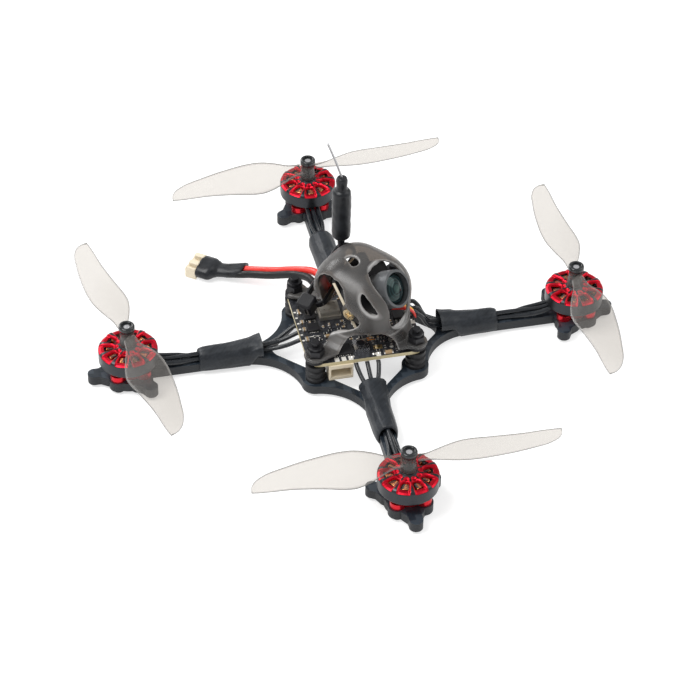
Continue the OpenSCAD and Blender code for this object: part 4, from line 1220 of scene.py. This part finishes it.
def make_lens(looks):
    """Front glass, its seat ring and the light edge of the camera's board."""
    pose = camera_matrix() @ Matrix.Translation((0, LENS_OFFSET, 0))
    radius, curve, centre, back = 4.08, 6.6, 3.7, 8.82
    widths = [radius * k / 14 for k in range(14, -1, -1)]
    dome = [(0, back), (radius, back)] + [(r, centre + math.sqrt(curve**2 - r**2)) for r in widths]
    glass = add_mesh("front_glass", turned(dome, 72, False), looks["coated_glass"], 60, "camera")
    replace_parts(glass, "lens_glass")
    glass.matrix_world = in_metres(pose)
    seat = turned([(4.1, 9.9), (4.3, 9.9), (4.3, 10.34), (4.22, 10.43), (4.1, 10.43)])
    add_mesh("glass_seat", moved(seat, pose), looks["lens_ring"], body="camera")
    edges = [block((0.16, 13.6, 0.9), (side * 7.02, 0.4, -1.7), 0.04) for side in (-1, 1)]
    edges += [block((11.4, 0.16, 0.9), (0, up, -1.7), 0.04) for up in (-7.42, 8.22)]
    add_mesh("sensor_board_edge", moved(gather(edges), pose), looks["beige_nylon"], 30, "camera")


def make_camera_lead(looks):
    """Three signal wires up to the camera, three power wires across the board, and their plug."""
    for k, (name, look) in enumerate(WIRE_COLOURS):
        spine = through([(x + 0.9 * (k - 1), y, z) for x, y, z in CAMERA_LEAD], 30)
        piece = add_mesh(f"signal_wire_{name}", tube(spine, 0.38, 14), looks[look], 60)
        if k == 0:
            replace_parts(piece, "camera_lead")
        shift = 0.525 * (k - 1)
        spine = through([(x - shift, y - shift, z + 0.15 * k) for x, y, z in POWER_WIRE], 40)
        add_mesh(f"power_wire_{name}", tube(spine, 0.34, 14), looks[look], 60)
    plug = [block((4, 2.4, 1.6), (3.9, 3, BOARD_TOP + 0.9), 0.15)]
    plug += [block((0.35, 0.3, 1.2), (3.9 + side, 1.75, BOARD_TOP + 0.9), 0.05) for side in (-1.2, 0, 1.2)]
    add_mesh("signal_plug", gather(plug), looks["beige_nylon"], 30)


def make_antenna(looks):
    """Antenna: shrink sleeve with soft wrinkles over a coil, and a thin bare whip."""
    rings = []
    for r, z, _ in through([(r, z, 0) for r, z in ANTENNA_PROFILE], 120):
        ring = []
        for a in angles(32):
            wrinkle = 1 + 0.012 * math.sin(3 * a + z * 1.1) * math.sin(z * 0.9)
            reach = r * (wrinkle + 0.008 * math.sin(8 * a + z * 2.3))
            ring.append((ANTENNA_AT[0] + reach * math.cos(a), ANTENNA_AT[1] + reach * math.sin(a), z))
        rings.append(ring)
    sleeve = add_mesh("antenna_shrink", skin(rings), looks["heat_shrink"], 70)
    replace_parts(sleeve, "antenna_sleeve")
    base = Vector((*ANTENNA_AT, SLEEVE_TOP))
    middle = (base + Vector(WHIP_TIP)) / 2 + Vector((0.15, 0, 0))
    spine = through([base, middle, WHIP_TIP], 24)
    whip = add_mesh("antenna_wire", tube(spine, 0.3, 14), looks["whip_steel"], 60)
    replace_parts(whip, "antenna_whip")


def make_tie(look):
    """Toothed nylon strap in a loop, with its square head and cut tail."""
    half, inner, outer = 6.7, 2.15, 2.95
    pose = Matrix.Translation(TIE_AT) @ spin(-22, "Y") @ Matrix.Translation((-half, 0, 0))
    bends = [math.pi * (k / 24 - 0.5) for k in range(25)]
    path = [(half, a) for a in bends] + [(-half, a + math.pi) for a in bends]
    rings = []
    for n, (x, a) in enumerate(path + path[:1]):
        tooth = 0.07 if n % 2 else 0
        section = ((inner, -0.8), (inner + tooth, 0), (inner, 0.8), (inner + 0.2, 1.1), (outer - 0.2, 1.1),
                   (outer, 0.85), (outer, -0.85), (outer - 0.2, -1.1), (inner + 0.2, -1.1))
        rings.append([(x + r * math.cos(a), r * math.sin(a), z) for r, z in section])
    u, v, w = -half - inner - 1.3, 0.9, 0.5
    head = [block((4.1, 4.1, 4.1), (u, v, w), 0.4), block((0.5, 1.7, 2.4), (u - 2.1, v, w), 0.1),
            block((1.0, 0.8, 2.3), (u, v + 2.2, w), 0.1)]
    piece = add_mesh("tie_loop", moved(gather([skin(rings, True, False)] + head), pose), look, 35)
    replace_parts(piece, "zip_tie")


# ---- looks of the CAD solids that stay ----

FINISHES = {
    "frame_plate": "carbon_twill", "stack_screws": "black_steel", "grommets": "grommet_rubber",
    "lock_nuts": "black_steel", "flight_board": "solder_mask", "shield_can": "shield_plate",
    "usb_socket": "bare_steel", "lower_socket": "beige_nylon", "button_housing": "bare_steel",
    "boot_button": "black_nylon", "camera_case": "camera_body", "camera_board": "camera_body",
    "lens_barrel": "lens_ring", "camera_screws": "brass_screw", "motor_screws": "black_steel",
    "bearings": "bare_steel",
}
MOTOR_FINISHES = {
    "base": "red_aluminium", "stator": "stator_steel", "magnets": "plated_magnet", "shaft": "bare_steel",
}


def dress_nodes(looks):
    finishes = dict(FINISHES)
    for corner in CORNERS:
        finishes |= {f"{corner}_{part}": finish for part, finish in MOTOR_FINISHES.items()}
    for name, finish in finishes.items():
        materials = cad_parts[name].data.materials
        materials.clear()
        materials.append(looks[finish])


# ---- stage ----

FLOOR_Z = -0.92
FLOOR_HALF = 4000


def lamp(name, place, size, power):
    light = bpy.data.lights.new(name, "AREA")
    light.shape = "RECTANGLE"
    light.size, light.size_y = size
    light.energy = power
    holder = linked(name, light)
    holder.location = place
    holder.rotation_euler = (-Vector(place)).to_track_quat("-Z", "Y").to_euler()


def floor_look():
    look = Look("studio_white", (0.5, 0.5, 0.5), 0.9)
    look.set("Emission Color", (1, 1, 1, 1))
    look.set("Emission Strength", 0.62)
    look.set("Specular IOR Level", 0.0)
    look.colour(look.noise(40, 2), (0.49, 0.49, 0.49), (0.52, 0.52, 0.52))
    return look.material


def make_stage():
    scene = bpy.context.scene
    scene.view_settings.view_transform = "Standard"
    world = bpy.data.worlds.new("studio")
    world.use_nodes = True
    background = world.node_tree.nodes["Background"]
    background.inputs[0].default_value = (1, 1, 1, 1)
    background.inputs[1].default_value = 0.6
    scene.world = world
    rows = [[(x, y, FLOOR_Z) for x in (-FLOOR_HALF, FLOOR_HALF)] for y in (-FLOOR_HALF, FLOOR_HALF)]
    floor = add_mesh("studio_floor", skin(rows, False, False), floor_look())
    lamp("key", (-0.35, 0.25, 0.7), (0.4, 0.4), 5.0)
    lamp("fill", (0.45, -0.5, 0.6), (0.6, 0.6), 2.5)
    lamp("back", (0.2, 0.7, 0.45), (0.5, 0.3), 3.0)


# ---- the whole ----

def build():
    make_camera()
    looks = shared_looks()
    boot = make_boot(looks["heat_shrink"])
    plug, contacts = make_plug(looks["beige_nylon"], looks["gold_pads"])
    lead("red_lead", "lead_red", RED_ROUTE, looks["lead_red_silicone"])
    lead("black_lead", "lead_black", BLACK_ROUTE, looks["lead_black_silicone"])
    dress_nodes(looks)
    make_canopy(looks["smoked_canopy"])
    make_propellers(looks)
    make_bells(looks["bell_anodised"])
    make_windings(looks["copper_winding"])
    make_wires(looks)
    make_sleeves(looks["arm_sleeving"])
    make_board_parts(looks)
    make_tiny_parts(looks)
    make_board_marks(looks)
    make_lens(looks)
    make_camera_lead(looks)
    make_antenna(looks)
    make_tie(looks["black_nylon"])
    make_stage()


build()
